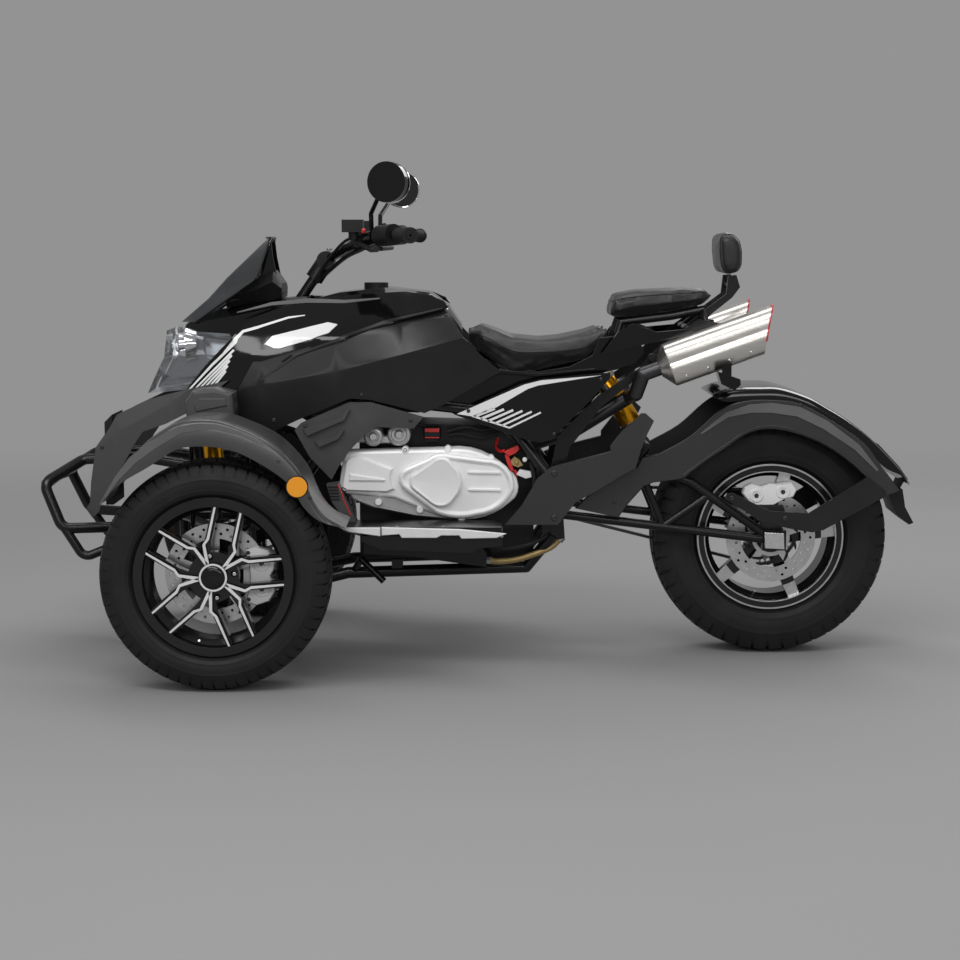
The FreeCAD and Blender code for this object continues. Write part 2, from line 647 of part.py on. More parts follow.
def muffler():
    """Left can with its inlet cone, tail bore and frame bracket."""
    front, rear = MUFFLER_FRONT, MUFFLER_REAR
    body = rod(front, rear, MUFFLER_RADIUS)
    nose = Part.makeCone(PIPE_RADIUS + 4, MUFFLER_RADIUS, MUFFLER_NOSE,
                         vec(*along(front, rear, -MUFFLER_NOSE)), vec(*rear) - vec(*front))
    bore = rod(along(rear, front, 40), along(rear, front, -5), 30)
    bracket = plate_xz([(-1086, 806), (-1080, 795), (-1122, 752), (-1150, 762), (-1160, 792), (-1120, 806)],
                       RAIL_Y + RAIL_THICKNESS + SEAT_GAP, MUFFLER_Y - MUFFLER_RADIUS + 6)
    return fuse([body, nose, bracket]).cut(bore)


# ---------------------------------------------------------------- rear suspension


def swingarm():
    px, pz = SWINGARM_PIVOT
    axle = (REAR_AXLE_X, SWINGARM_Y, REAR_TYRE_RADIUS)
    y = SWINGARM_Y
    left = [
        welded([(px, y, pz + 10), (-1060, y, 520), (-1200, y, 468), axle], 12),
        welded([(px, y, pz), (-1130, y, 350), axle], 12),
        welded([(-1130, y, 352), (-1250, y, 435)], 10),
        welded([(-1060, y, 520), (-1130, y, 350)], 10),
        block(REAR_AXLE_X - 32, REAR_AXLE_X + 30, y - 13, y + 13, axle[2] - 26, axle[2] + 26),
        rod((px, y - 14, pz), (px, y + 14, pz), 22),
        welded([(-1060, y, 520), (REAR_SHOCK_LOW[0], y, REAR_SHOCK_LOW[2])], REAR_SHOCK_PIN),
    ]
    both = left + [mirrored(s) for s in left]
    both += [
        rod((-960, -y, 472), (-960, y, 472), 12),
        rod((REAR_SHOCK_LOW[0], -y, REAR_SHOCK_LOW[2]), (REAR_SHOCK_LOW[0], y, REAR_SHOCK_LOW[2]), REAR_SHOCK_PIN),
        rod((REAR_AXLE_X, -y - 25, axle[2]), (REAR_AXLE_X, y + 25, axle[2]), REAR_AXLE_RADIUS),
    ]
    return fuse(both).cut(rod((px, -y - 20, pz), (px, y + 20, pz), PIVOT_RADIUS + PIN_CLEARANCE))


def chain():
    """Closed chain drawn as one flat loop over both sprockets."""
    x0, z0, r0 = -815, 395, 38
    x1, z1, r1 = REAR_AXLE_X, REAR_TYRE_RADIUS, SPROCKET_RADIUS + 9
    outer = loop_xz((x0, z0, r0), (x1, z1, r1))
    inner = loop_xz((x0, z0, r0 - 8), (x1, z1, r1 - 8))
    y0, y1 = SPROCKET_Y - 7, SPROCKET_Y + 7
    outer_body = Part.Face(outer).extrude(vec(0, y1 - y0, 0))
    inner_body = Part.Face(inner).extrude(vec(0, y1 - y0 + 2, 0))
    outer_body.translate(vec(0, y0, 0))
    inner_body.translate(vec(0, y0 - 1, 0))
    return outer_body.cut(inner_body)


def loop_xz(a, b):
    """Wire of two arcs and their two outer tangents at y = 0. Circles: (x, z, radius)."""
    (xa, za, ra), (xb, zb, rb) = a, b
    dx, dz = xb - xa, zb - za
    length = math.hypot(dx, dz)
    heading = math.atan2(dz, dx)
    lean = math.acos((ra - rb) / length)
    points = {}
    for name, (x, z, r) in (("a", a), ("b", b)):
        for side in (-1, 1):
            t = heading + side * lean
            points[name, side] = vec(x + r * math.cos(t), 0, z + r * math.sin(t))
    back = vec(xa - ra * math.cos(heading), 0, za - ra * math.sin(heading))
    front = vec(xb + rb * math.cos(heading), 0, zb + rb * math.sin(heading))
    return Part.Wire([
        Part.LineSegment(points["a", 1], points["b", 1]).toShape(),
        Part.Arc(points["b", 1], front, points["b", -1]).toShape(),
        Part.LineSegment(points["b", -1], points["a", -1]).toShape(),
        Part.Arc(points["a", -1], back, points["a", 1]).toShape(),
    ])


def shock(top, low, pin, along_y):
    """Coil-over: body tube, coils as rings, and at each end an eye round its pin."""
    length = math.dist(top, low)
    pieces = [rod(along(top, low, pin + 3), along(top, low, length - pin - 3), 9),
              rod(along(top, low, pin + 24), along(top, low, length * 0.5), SPRING_RADIUS - 6),
              rod(along(top, low, length * 0.84), along(top, low, length * 0.88), SPRING_RADIUS)]
    coils = 8
    for k in range(coils):
        at = length * (0.3 + 0.54 * k / (coils - 1))
        pieces.append(rod(along(top, low, at - 4), along(top, low, at + 4), SPRING_RADIUS))
    holes = []
    for x, y, z in (top, low):
        dx, dy = (0, 13) if along_y else (13, 0)
        a, b = (x - dx, y - dy, z), (x + dx, y + dy, z)
        pieces.append(rod(a, b, pin + 8))
        holes.append(rod(along(a, b, -1), along(b, a, -1), pin + PIN_CLEARANCE))
    return fuse(pieces).cut(holes)


def rear_shock():
    return shock(REAR_SHOCK_TOP, REAR_SHOCK_LOW, REAR_SHOCK_PIN, True)


def front_shocks():
    return both_sides(shock(SHOCK_TOP, SHOCK_LOW, SHOCK_PIN, False))


def rear_caliper():
    """Caliper over the disc, and its torque plate round the axle."""
    x, z = REAR_AXLE_X, REAR_TYRE_RADIUS
    outline = [(x + r * math.cos(math.radians(a)), z + r * math.sin(math.radians(a)))
               for r, a in ((80, 60), (150, 55), (150, 88), (148, 118), (80, 118))]
    body = plate_xz(outline, REAR_DISC_Y - 14, REAR_DISC_Y + 16)
    slot = disc_y(x, z, REAR_DISC_RADIUS + 3, REAR_DISC_Y - 5, REAR_DISC_Y + 5)
    y0, y1 = REAR_DISC_Y + 14, REAR_DISC_Y + 22
    torque = [disc_y(x, z, 26, y0, y1), plate_xz([(x + 24, z), (x + 50, z + 90), (x - 50, z + 90), (x - 24, z)], y0, y1)]
    bore = disc_y(x, z, REAR_AXLE_RADIUS + AXLE_CLEARANCE, y0 - 1, y1 + 1)
    return fuse([body.cut(slot)] + torque).cut(bore)


def front_caliper(hand):
    z = FRONT_TYRE_RADIUS
    outline = [(r * math.cos(math.radians(a)), z + r * math.sin(math.radians(a)))
               for r, a in ((78, 150), (78, 215), (142, 215), (148, 182), (142, 150))]
    body = plate_xz(outline, FRONT_DISC_Y - CALIPER_INNER, FRONT_DISC_Y + 13)
    slot = disc_y(0, z, FRONT_DISC_RADIUS + 3, FRONT_DISC_Y - 5, FRONT_DISC_Y + 5)
    shape = body.cut(slot)
    return shape if hand == LEFT else mirrored(shape)



# ---------------------------------------------------------------- bodywork
# Skin of the left side, front to back. Each row: x, then (y, z) of lower edge, belly crease,
# shoulder crease, and upper edge.
SIDE_SKIN = [
    (400, (128, 340), (134, 420), (128, 520), (100, 600)),
    (300, (160, 380), (166, 480), (158, 600), (118, 680)),
    (150, (185, 480), (205, 600), (195, 680), (150, 740)),
    (30, (215, 560), (240, 700), (235, 770), (160, 840)),
    (-90, (235, 580), (258, 730), (245, 790), (160, 860)),
    (-280, (235, 600), (262, 765), (240, 848), (160, 905)),
    (-445, (225, 600), (258, 808), (225, 888), (150, 950)),
    (-600, (190, 620), (235, 850), (190, 905), (130, 960)),
    (-720, (170, 640), (190, 780), (170, 860), (120, 960)),
]
NOSE_OUTLINE = [(-5, 742), (100, 718), (215, 686), (302, 645), (320, 612), (358, 560), (372, 470),
                (376, 415), (388, 396), (370, 372), (352, 392), (340, 428), (305, 480), (266, 543),
                (256, 563), (228, 604), (165, 626), (98, 660)]
SIDE_OUTLINE = [(22, 622), (-60, 775), (-92, 832), (-112, 846), (-280, 890), (-305, 901), (-545, 931),
                (-566, 920), (-602, 855), (-652, 803), (-702, 762), (-545, 672), (-505, 656),
                (-370, 692), (-315, 696), (-185, 642), (-120, 612)]
FOOT_OUTLINE = [(-172, 614), (-188, 632), (-312, 686), (-368, 686), (-503, 648), (-478, 618),
                (-380, 622), (-350, 600), (-312, 560), (-285, 520), (-266, 486), (-210, 545)]
REAR_COVER_OUTLINE = [(-582, 650), (-750, 728), (-805, 742), (-960, 757), (-984, 757), (-984, 745),
                      (-932, 685), (-880, 634), (-832, 584), (-810, 579), (-785, 580), (-735, 595)]
TAIL_OUTLINE = [(-1005, 862), (-1045, 884), (-1105, 862), (-1180, 869), (-1204, 864), (-1180, 852),
                (-1070, 829), (-962, 804)]


def boss(x, z, y0, y1):
    """Round standoff along Y behind a panel."""
    return rod((x, y0, z), (x, y1, z), COVER_BOSS)


def side_panels(skin):
    spar = SPAR_END[1] + FRAME_TUBE + SEAT_GAP
    return both_sides(fuse([panel(skin, SIDE_OUTLINE), boss(-450, 682, spar, 236)]))


def nose_panels(skin):
    return both_sides(fuse([panel(skin, NOSE_OUTLINE), boss(30, 724, 76.3, 236.5)]))


def foot_panels():
    base = plate_xz(FOOT_OUTLINE, 232, 240)
    ribs = [plate_xz([(-195, 618), (-205, 600), (-300, 640), (-315, 668), (-305, 668), (-293, 648)], 238, 250),
            plate_xz([(-225, 588), (-235, 570), (-285, 592), (-300, 615), (-290, 615), (-278, 600)], 238, 250)]
    return both_sides(fuse([base, boss(-360, 678, SPAR_END[1] + FRAME_TUBE + SEAT_GAP, 236)] + ribs))


def tank_cover():
    rows = [
        (-225, (60, 768), (120, 830), (150, 880), (90, 948)),
        (-280, (100, 732), (130, 820), (150, 895), (95, 962)),
        (-400, (128, 698.2), (140, 810), (146, 930), (95, 975)),
        (-515, (128, 686), (136, 810), (136, 935), (90, 962)),
        (-565, (100, 690), (115, 815), (120, 915), (80, 928)),
        (-600, (80, 700), (100, 820), (100, 865), (60, 876)),
    ]
    return hull_x(rows).cut(rod((-372, 0, 940), (-372, 0, 1000), CAP_RADIUS + SEAT_GAP))


def fuel_cap():
    return rod((-372, 0, 940 + SEAT_GAP), (-372, 0, 986), CAP_RADIUS)


def stem_clearance():
    return rod(stem_point(-10), stem_point(STEM_LENGTH - 20), 34)


def front_cowl():
    """Gloss beak over the headlight."""
    rows = [
        (128, (70, 868), (60, 876), (20, 880)),
        (60, (105, 850), (95, 890), (40, 912)),
        (-25, (135, 842), (120, 905), (60, 928)),
        (-120, (148, 850), (130, 925), (70, 945)),
        (-200, (150, 875), (120, 940), (70, 952)),
    ]
    shape = hull_x(rows)
    hollow = hull_x([(x, (y1 - PANEL_WALL, z1 - 40), (y2 - PANEL_WALL, z2 - PANEL_WALL),
                      (y3 - PANEL_WALL, z3 - PANEL_WALL)) for x, (y1, z1), (y2, z2), (y3, z3) in rows])
    return shape.cut([hollow, stem_clearance()])


def headlight():
    rows = [
        (166, (60, 762), (95, 800), (60, 843.3)),
        (130, (85, 745), (120, 795), (80, 861.3)),
        (HEADLIGHT_BACK, (110, 745), (145, 790), (90, 851.3)),
    ]
    return hull_x(rows)


def front_grille():
    """Air intake between the nose panels: frame, slats and the lugs that sit on the guard."""
    half = 95 - BUMPER_TUBE - SEAT_GAP
    frame = hull_x([(345, (half, 400), (half, 620)), (325, (half, 400), (half, 640))])
    frame = frame.cut(block(300, 400, 10 - half, half - 10, 415, 600))
    slats = [block(328, 341, 8 - half, half - 8, z, z + 5) for z in range(435, 600, 28)]
    return fuse([frame] + slats)


def windscreen():
    """Curved screen. Each row: z, x at the centre, x and half-width at the edge."""
    wires = []
    for z, centre, edge, half in ((883.2, 150, 100, 78), (945, 76, 10, 112), (1000, 26, -62, 104),
                                  (1104, -82, -97, 60)):
        outer = [vec(edge, -half, z), vec(centre - 8, -half * 0.5, z), vec(centre - 8, half * 0.5, z),
                 vec(edge, half, z)]
        inner = [p - vec(PANEL_WALL + 1, 0, 0) for p in reversed(outer)]
        wires.append(closed_wire(outer + inner))
    return loft(wires)


def instrument_cowl():
    rows = [
        (20, (60, 920), (80, 950), (50, 985)),
        (-50, (62, 933), (95, 965), (60, 998)),
        (-105, (70, 943), (95, 990), (60, 1018)),
        (-128, (72, 947), (90, 972), (60, 985)),
    ]
    return hull_x(rows).cut(stem_clearance())


def saddle():
    rows = [
        (-612, (90, 842), (108, 860), (70, 873)),
        (-655, (128, 804), (150, 850), (100, 875)),
        (-735, (140, 750), (162, 815), (110, 845)),
        (-805, (148, 762), (166, 812), (115, 838)),
        (-860, (146, 774), (162, 815), (115, 843)),
        (-925, (136, 790), (150, 825), (105, 858)),
        (-985, (105, 848), (118, 868), (80, 879)),
    ]
    return hull_x(rows)


def pillion_seat():
    rows = [
        (-984, (80, 892), (95, 905), (75, 922)),
        (-1000, (90, 894), (115, 915), (85, 954)),
        (-1065, (95, 902), (125, 930), (95, 965)),
        (-1150, (95, 912), (122, 938), (92, 969)),
        (-1235, (85, 930), (110, 950), (82, 970)),
        (-1264, (70, 945), (90, 952), (70, 962)),
    ]
    return hull_x(rows)


def backrest_pad():
    outline = [(-1272, 1112), (-1290, 1121), (-1310, 1120), (-1330, 1102), (-1336, 1070), (-1336, 1028),
               (-1325, 1008), (-1285, 1004), (-1276, 1026), (-1271, 1070)]
    return plate_xz(outline, -110, 110)


def grab_rail():
    """Two flat stalks that rise behind the pillion seat, and their cross bar."""
    outline = [(-1301, 1005), (-1322, 1007), (-1332, 975), (-1312, 948), (-1262, 908), (-1212, 858),
               (-1182, 868), (-1240, 915), (-1296, 957)]
    stalks = [plate_xz(outline, side * 60 - 6, side * 60 + 6) for side in (-1, 1)]
    hook = rod((GRAB_CROSS[0], -80, GRAB_CROSS[1]), (GRAB_CROSS[0], 80, GRAB_CROSS[1]), 10 + SEAT_GAP)
    return fuse(stalks + [rod((-1312, -66, 980), (-1312, 66, 980), 8)]).cut(hook)


def rear_subframe():
    """Flat rails, seat rails and cross tubes."""
    outer = RAIL_Y + RAIL_THICKNESS
    rail = plate_xz([(-826, 470), (-858, 470), (-882, 560), (-965, 668), (-1040, 728), (-1095, 756),
                     (-1290, 850), (-1290, 880), (-1215, 895), (-1100, 812), (-1060, 766), (-955, 696),
                     (-850, 590)], RAIL_Y, outer)
    spar_foot = (SWINGARM_PIVOT[0] + 14, PIVOT_PLATE_Y + 4, SWINGARM_PIVOT[1] + 105)
    rail = rail.cut([rod(SPAR_END, spar_foot, FRAME_TUBE + SEAT_GAP), ball(spar_foot, FRAME_TUBE + SEAT_GAP)])
    seat_rail = welded([SPAR_END, (-770, 92, 735), (-860, 92, 762), (-935, 92, 774), (-1000, 84, 820), (-1020, 80, 884),
                        (-1150, 80, 900), (-1236, 80, 917)], SUBFRAME_TUBE)
    seat_rail = seat_rail.cut([
        rod((-330, 125, 690), SPAR_END, FRAME_TUBE + SEAT_GAP), ball(SPAR_END, FRAME_TUBE + SEAT_GAP),
        rod(SPAR_END, spar_foot, FRAME_TUBE + SEAT_GAP)])
    left = [rail, seat_rail, rod((-935, 92, 774), (-980, outer - 5, 700), 8),
            rod((-1230, 80, 915), (-1240, outer - 5, 875), 8)]
    tx, ty, tz = REAR_SHOCK_TOP
    left.append(rod((-935, 92, 774), (tx, 92, tz), REAR_SHOCK_PIN))
    cross = [rod((tx, -96, tz), (tx, 96, tz), REAR_SHOCK_PIN),
             rod((GRAB_CROSS[0], -outer + 2, GRAB_CROSS[1]), (GRAB_CROSS[0], outer - 2, GRAB_CROSS[1]), 10)]
    return fuse(left + [mirrored(s) for s in left] + cross)


def rear_side_covers():
    spar = SPAR_END[1] + FRAME_TUBE + SEAT_GAP
    cover = fuse([plate_xz(REAR_COVER_OUTLINE, 182, 196), boss(-694, 652, spar, 184)])
    tail = plate_xz(TAIL_OUTLINE, RAIL_Y + RAIL_THICKNESS + SEAT_GAP, 171)
    return Part.Compound([cover, mirrored(cover), tail, mirrored(tail)])


# x, z of the rear arm shroud
SHROUD_LOW = [(-896, 402), (-1010, 378), (-1036, 415), (-1076, 460), (-1100, 470), (-1175, 480),
              (-1200, 498), (-1236, 525), (-1300, 570), (-1335, 594), (-1378, 609), (-1425, 609),
              (-1480, 596), (-1550, 565), (-1615, 520), (-1665, 474), (-1710, 436)]
SHROUD_TOP = [(-1744, 450), (-1695, 512), (-1645, 576), (-1550, 640), (-1475, 678), (-1405, 686),
              (-1350, 685), (-1300, 674), (-1260, 648), (-1195, 590), (-1115, 545), (-1070, 535),
              (-1056, 508), (-1020, 500), (-955, 460)]
CROWN_TOP = [(-1255, 696), (-1270, 704), (-1305, 714), (-1380, 716), (-1435, 714), (-1505, 692),
             (-1555, 665), (-1605, 635), (-1655, 597), (-1695, 560), (-1752, 500), (-1774, 466)]


def rear_shrouds():
    plate = plate_xz(SHROUD_LOW + SHROUD_TOP, SHROUD_Y, SHROUD_Y + SHROUD_THICKNESS)
    return both_sides(fuse([plate, boss(-1075, 514, SWINGARM_Y + 12 + SEAT_GAP, SHROUD_Y + 2)]))


def rear_fender():
    under = [(x, z - 6) for x, z in reversed(CROWN_TOP)]
    inner = SHROUD_Y - SEAT_GAP
    crown = plate_xz(CROWN_TOP + under, -inner, inner)
    flange = [(-1300, 674), (-1350, 685), (-1405, 686), (-1475, 678), (-1550, 640), (-1645, 576), (-1700, 512)]
    side_outline = CROWN_TOP[:10] + flange[::-1]
    side = plate_xz(side_outline, inner - 5, inner)
    return fuse([crown, side, mirrored(side)])


PEG_OUTLINE = [(-800, 490), (-828, 513), (-845, 520), (-985, 556), (-985, 570), (-1016, 610), (-1064, 655),
               (-1075, 655), (-1096, 636), (-1080, 604), (-1064, 565), (-1056, 536), (-1050, 514),
               (-1020, 498), (-955, 458), (-895, 424), (-862, 382), (-850, 366), (-712, 366), (-755, 415),
               (-785, 465)]


def peg_covers():
    cover = plate_xz(PEG_OUTLINE, 205, 222)
    return both_sides(fuse([cover, boss(-832, 478, PIVOT_PLATE_Y + 8 + SEAT_GAP, 207)]))


STAY_OUTLINE = [(-1286, 428), (-1292, 442), (-1306, 444), (-1405, 396), (-1505, 390), (-1658, 486),
                (-1706, 448), (-1702, 432), (-1545, 346), (-1515, 340), (-1455, 350), (-1380, 370)]


def fender_stay():
    y0 = SHROUD_Y + SHROUD_THICKNESS + SEAT_GAP
    return both_sides(plate_xz(STAY_OUTLINE, y0, y0 + STAY_THICKNESS))


def mud_flap():
    """Rubber flap, number-plate bracket and the strap that joins them under the fender's tail."""
    flap = plate_xz([(-1738, 425), (-1772, 440), (-1780, 392), (-1803, 350), (-1791, 345), (-1757, 372)],
                    -70, 70)
    strap = plate_xz([(-1758, 434), (-1772, 440), (-1786, 466), (-1783, 474), (-1779, 470), (-1774.6, 461),
                      (-1768, 446)], -40, 40)
    (x0, z0), (x1, z1) = PLATE_LOW, PLATE_HIGH
    rise = math.hypot(x1 - x0, z1 - z0)
    back = (-(z1 - z0) / rise * PLATE_THICKNESS, (x1 - x0) / rise * PLATE_THICKNESS)
    plate = plate_xz([(x1, z1), (x0, z0), (-1774.6, 466.3), (-1780, 470), (x0 + back[0], z0 + back[1]),
                      (x1 + back[0], z1 + back[1])], -95, 95)
    x, z = (x0 + x1) / 2, (z0 + z1) / 2
    holes = [rod((x - 3 * back[0], side * PLATE_HOLE_Y, z - 3 * back[1]),
                 (x + 3 * back[0], side * PLATE_HOLE_Y, z + 3 * back[1]), PLATE_HOLE) for side in (-1, 1)]
    return fuse([flap, strap, plate]).cut(holes)


def footboards():
    """Tread plate with a raised outer edge on two brackets, and the box below it."""
    outline = [(-300, 214), (-300, 330), (-350, 420), (-705, 420), (-705, 214)]
    board = plate_xy(outline, 366, BOARD_TOP)
    edge = plate_xy([(-345, 408), (-352, 420), (-702, 420), (-702, 408)], 366, 388)
    brackets = [block(x - 15, x + 15, 150, 222, 337, 367) for x in (-420, -640)]
    box = [(-345, 290), (-455, 286), (-620, 262), (-665, 256), (-665, 292), (-630, 338), (-350, 338)]
    return both_sides(fuse([board, edge, plate_xz(box, FOOT_Y + SEAT_GAP, 226)] + brackets))


def pedals():
    z0 = BOARD_TOP + SEAT_GAP
    outline = [(-254, 476), (-284, 480), (-292, 455), (-332, z0), (-306, z0), (-268, 430)]
    return plate_xz(outline, 216, 262)


def bumper():
    """Tube guard in front of the nose, carried by the frame's front box."""
    r = BUMPER_TUBE
    w, x, high = ARM_PIVOT_Y, ARM_PIVOT_X, ball_z(True)
    left = [
        bent_tube([(95, 118, 506), (250, 95, 530), (400, 95, 523), (490, 170, 468), (440, 190, 352),
                   (320, 150, 350), (x + 2, 100, high)], r, 30),
        bent_tube([(452, 186, 380), (385, 190, 275), (320, 175, 300), (300, 142, 352)], r - 2, 25),
        rod((490, 0, 468), (484, 164, 466), r),
    ]
    keep_off = [rod((85, w, 520), (x, w, high), FRAME_TUBE + SEAT_GAP), rod((x, -w, high), (x, w, high), FRAME_TUBE + SEAT_GAP),
                rod((85, w, 520), (30, 48, 745), FRAME_TUBE + SEAT_GAP), ball((85, w, 520), FRAME_TUBE + SEAT_GAP),
                rod((85, w, 520), (-85, w, 520), FRAME_TUBE + SEAT_GAP)]
    return fuse(left + [mirrored(s) for s in left]).cut(keep_off + [mirrored(k) for k in keep_off])


def side_stand():
    leg = welded([(-318, 132, 235), (-338, 196, 272), (-398, 206, 215)], 9)
    return leg.cut([rod((-300, 125, 225), (-770, 125, 240), FRAME_TUBE + SEAT_GAP),
                    rod((-125, 150, 185), (-300, 125, 225), FRAME_TUBE + SEAT_GAP)])


def turn_signals():
    lamp = plate_xz([(-1246, 770), (-1304, 750), (-1305, 736), (-1290, 722), (-1256, 738)], 258, 320)
    arm_plate = block(-1288, -1264, 258, 266, 755, 830)
    return both_sides(fuse([lamp, arm_plate]).cut(rod(MUFFLER_FRONT, MUFFLER_REAR, MUFFLER_RADIUS + SEAT_GAP)))


# ---------------------------------------------------------------- files
def write_front_corner(hand, side):
    """Everything that turns or spins at one front wheel, with its fender."""
    y = hand * FRONT_WHEEL_Y
    disc = brake_disc(0, hand * FRONT_DISC_Y, FRONT_TYRE_RADIUS, FRONT_DISC_RADIUS, 24,
                      HUB_RADIUS + BEAD_CLEARANCE)
    fender = front_fender()
    write(side + "_front_tyre", tyre(0, y, FRONT_TYRE_RADIUS, FRONT_TYRE_RADIUS, FRONT_TYRE_WIDTH,
                                    FRONT_RIM_WIDTH))
    write(side + "_front_wheel", front_rim(hand), disc)
    write(side + "_knuckle", knuckle(hand))
    write(side + "_front_caliper", front_caliper(hand))
    write(side + "_tie_rod", tie_rod(hand))
    write(side + "_front_fender", fender if hand == LEFT else mirrored(fender))


def write_rear_wheel():
    disc = brake_disc(REAR_AXLE_X, REAR_DISC_Y, REAR_TYRE_RADIUS, REAR_DISC_RADIUS, 20,
                      HUB_RADIUS + BEAD_CLEARANCE)
    write("rear_tyre", tyre(REAR_AXLE_X, 0, REAR_TYRE_RADIUS, REAR_TYRE_RADIUS, REAR_TYRE_WIDTH,
                            REAR_RIM_WIDTH))
    write("rear_wheel", rear_rim(), disc)
    write("rear_sprocket", sprocket())


def main():
    skin = skin_x(SIDE_SKIN, PANEL_WALL)
    for hand, side in ((LEFT, "left"), (RIGHT, "right")):
        write_front_corner(hand, side)
    write_rear_wheel()
    write("suspension_arms", both_sides(arm(False)), both_sides(arm(True)))
    write("pitman_arm", pitman())
    write("steering_stem", steering_stem())
    write("handlebar_tube", handlebar_tube())
    write("grips", both_sides(grip()))
    write("bar_controls", both_sides(controls()))
    write("mirrors", both_sides(mirror_head()))
    write("main_frame", main_frame())
    write("engine_block", engine_block())
    write("cvt_cover", cvt_cover())
    write("exhaust_pipes", exhaust_pipes())
    write("mufflers", both_sides(muffler()))
    write("swingarm", swingarm())
    write("drive_chain", chain())
    write("shock_absorbers", rear_shock(), front_shocks())
    write("rear_caliper", rear_caliper())
    write("side_panels", side_panels(skin))
    write("nose_panels", nose_panels(skin))
    write("foot_panels", foot_panels())
    write("tank_cover", tank_cover())
    write("fuel_cap", fuel_cap())
    write("front_cowl", front_cowl())
    write("headlight", headlight())
    write("front_grille", front_grille())
    write("windscreen", windscreen())
    write("instrument_cowl", instrument_cowl())
    write("saddle", saddle())
    write("pillion_seat", pillion_seat())
    write("backrest_pad", backrest_pad())
    write("grab_rail", grab_rail())
    write("rear_subframe", rear_subframe())
    write("rear_side_covers", rear_side_covers())
    write("rear_shrouds", rear_shrouds())
    write("rear_fender", rear_fender())
    write("peg_covers", peg_covers())
    write("fender_stay", fender_stay())
    write("mud_flap", mud_flap())
    write("footboards", footboards())
    write("brake_pedal", pedals())
    write("front_bumper", bumper())
    write("side_stand", side_stand())
    write("turn_signals", turn_signals())


main()
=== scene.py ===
"""Looks of the motor trike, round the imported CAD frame. Metres: +X forwards, +Y to the rider's left, +Z up.
The tables are in millimetres from the floor under the front axle; at() turns them into the frame's metres."""
import math

import bmesh
import bpy
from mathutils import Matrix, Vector
from mathutils.bvhtree import BVHTree


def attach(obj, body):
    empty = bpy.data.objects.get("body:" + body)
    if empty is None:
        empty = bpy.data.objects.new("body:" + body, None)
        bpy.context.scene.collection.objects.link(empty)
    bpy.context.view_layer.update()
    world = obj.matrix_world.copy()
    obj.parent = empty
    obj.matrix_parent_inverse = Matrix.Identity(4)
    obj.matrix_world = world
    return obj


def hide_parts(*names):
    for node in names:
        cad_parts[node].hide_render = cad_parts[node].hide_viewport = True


CAMERA_PLACE = (0.002, 5.4, 1.106)
CAMERA_PITCH = 6.86
CAMERA_LENS = 75.74
SENSOR = 36.0
WORLD_LIGHT = 0.42
BACKDROP_GREY = 0.291
FLOOR_GREY = 0.30
FLOOR_HALF = 14.0
FLOOR_FADE = (1.6, 6.0)         # the floor fades into the backdrop between these distances
LIGHTS = [
    # name, place, what it faces, size, power
    ("key", (1.2, 3.4, 4.2), (0, 0, 0.4), (5.0, 1.1), 105),
    ("top", (-0.3, -0.4, 4.6), (0, 0, 0), (5.5, 1.2), 70),
    ("strip", (0.0, 4.6, 1.9), (0, 0, 0.5), (5.0, 0.5), 34),
    ("rear", (-2.5, -3.5, 3.0), (0, 0, 0.5), (3.5, 1.6), 60),
]

FRONT_AXLE_X = 650
FRONT_AXLE_Z = 285
FRONT_WHEEL_Y = 492.5
REAR_AXLE = (-1420, 314)
LEFT, RIGHT = 1, -1
HANDS = (("left", LEFT), ("right", RIGHT))
Y_AXIS = (0, 1, 0)
EDGE = 0.0011                   # radius that the shader gives to hard edges, in metres
FLAT_ANGLE = 28.0               # edges of the CAD nodes flatter than this are shaded smooth, in degrees
WELD_GAP = 0.00002
BEVEL_ANGLE = 35.0
MERGE_GAP = 1e-6
RAY_START = 1500                # how far out the rays start that look for a surface
SEAM_GAP = 1.5                  # how far to each side they look again, past a seam between two panels
BEAD, BEAD_INSET = 178.3, 9.3   # a tyre's bead: its radius, and its distance in from the rim's edge


def at(x, y, z):
    return Vector(((x + FRONT_AXLE_X) / 1000, y / 1000, z / 1000))


def grey(value):
    return (value, value, value)


def times(colour, factor):
    return tuple(factor * c for c in colour)


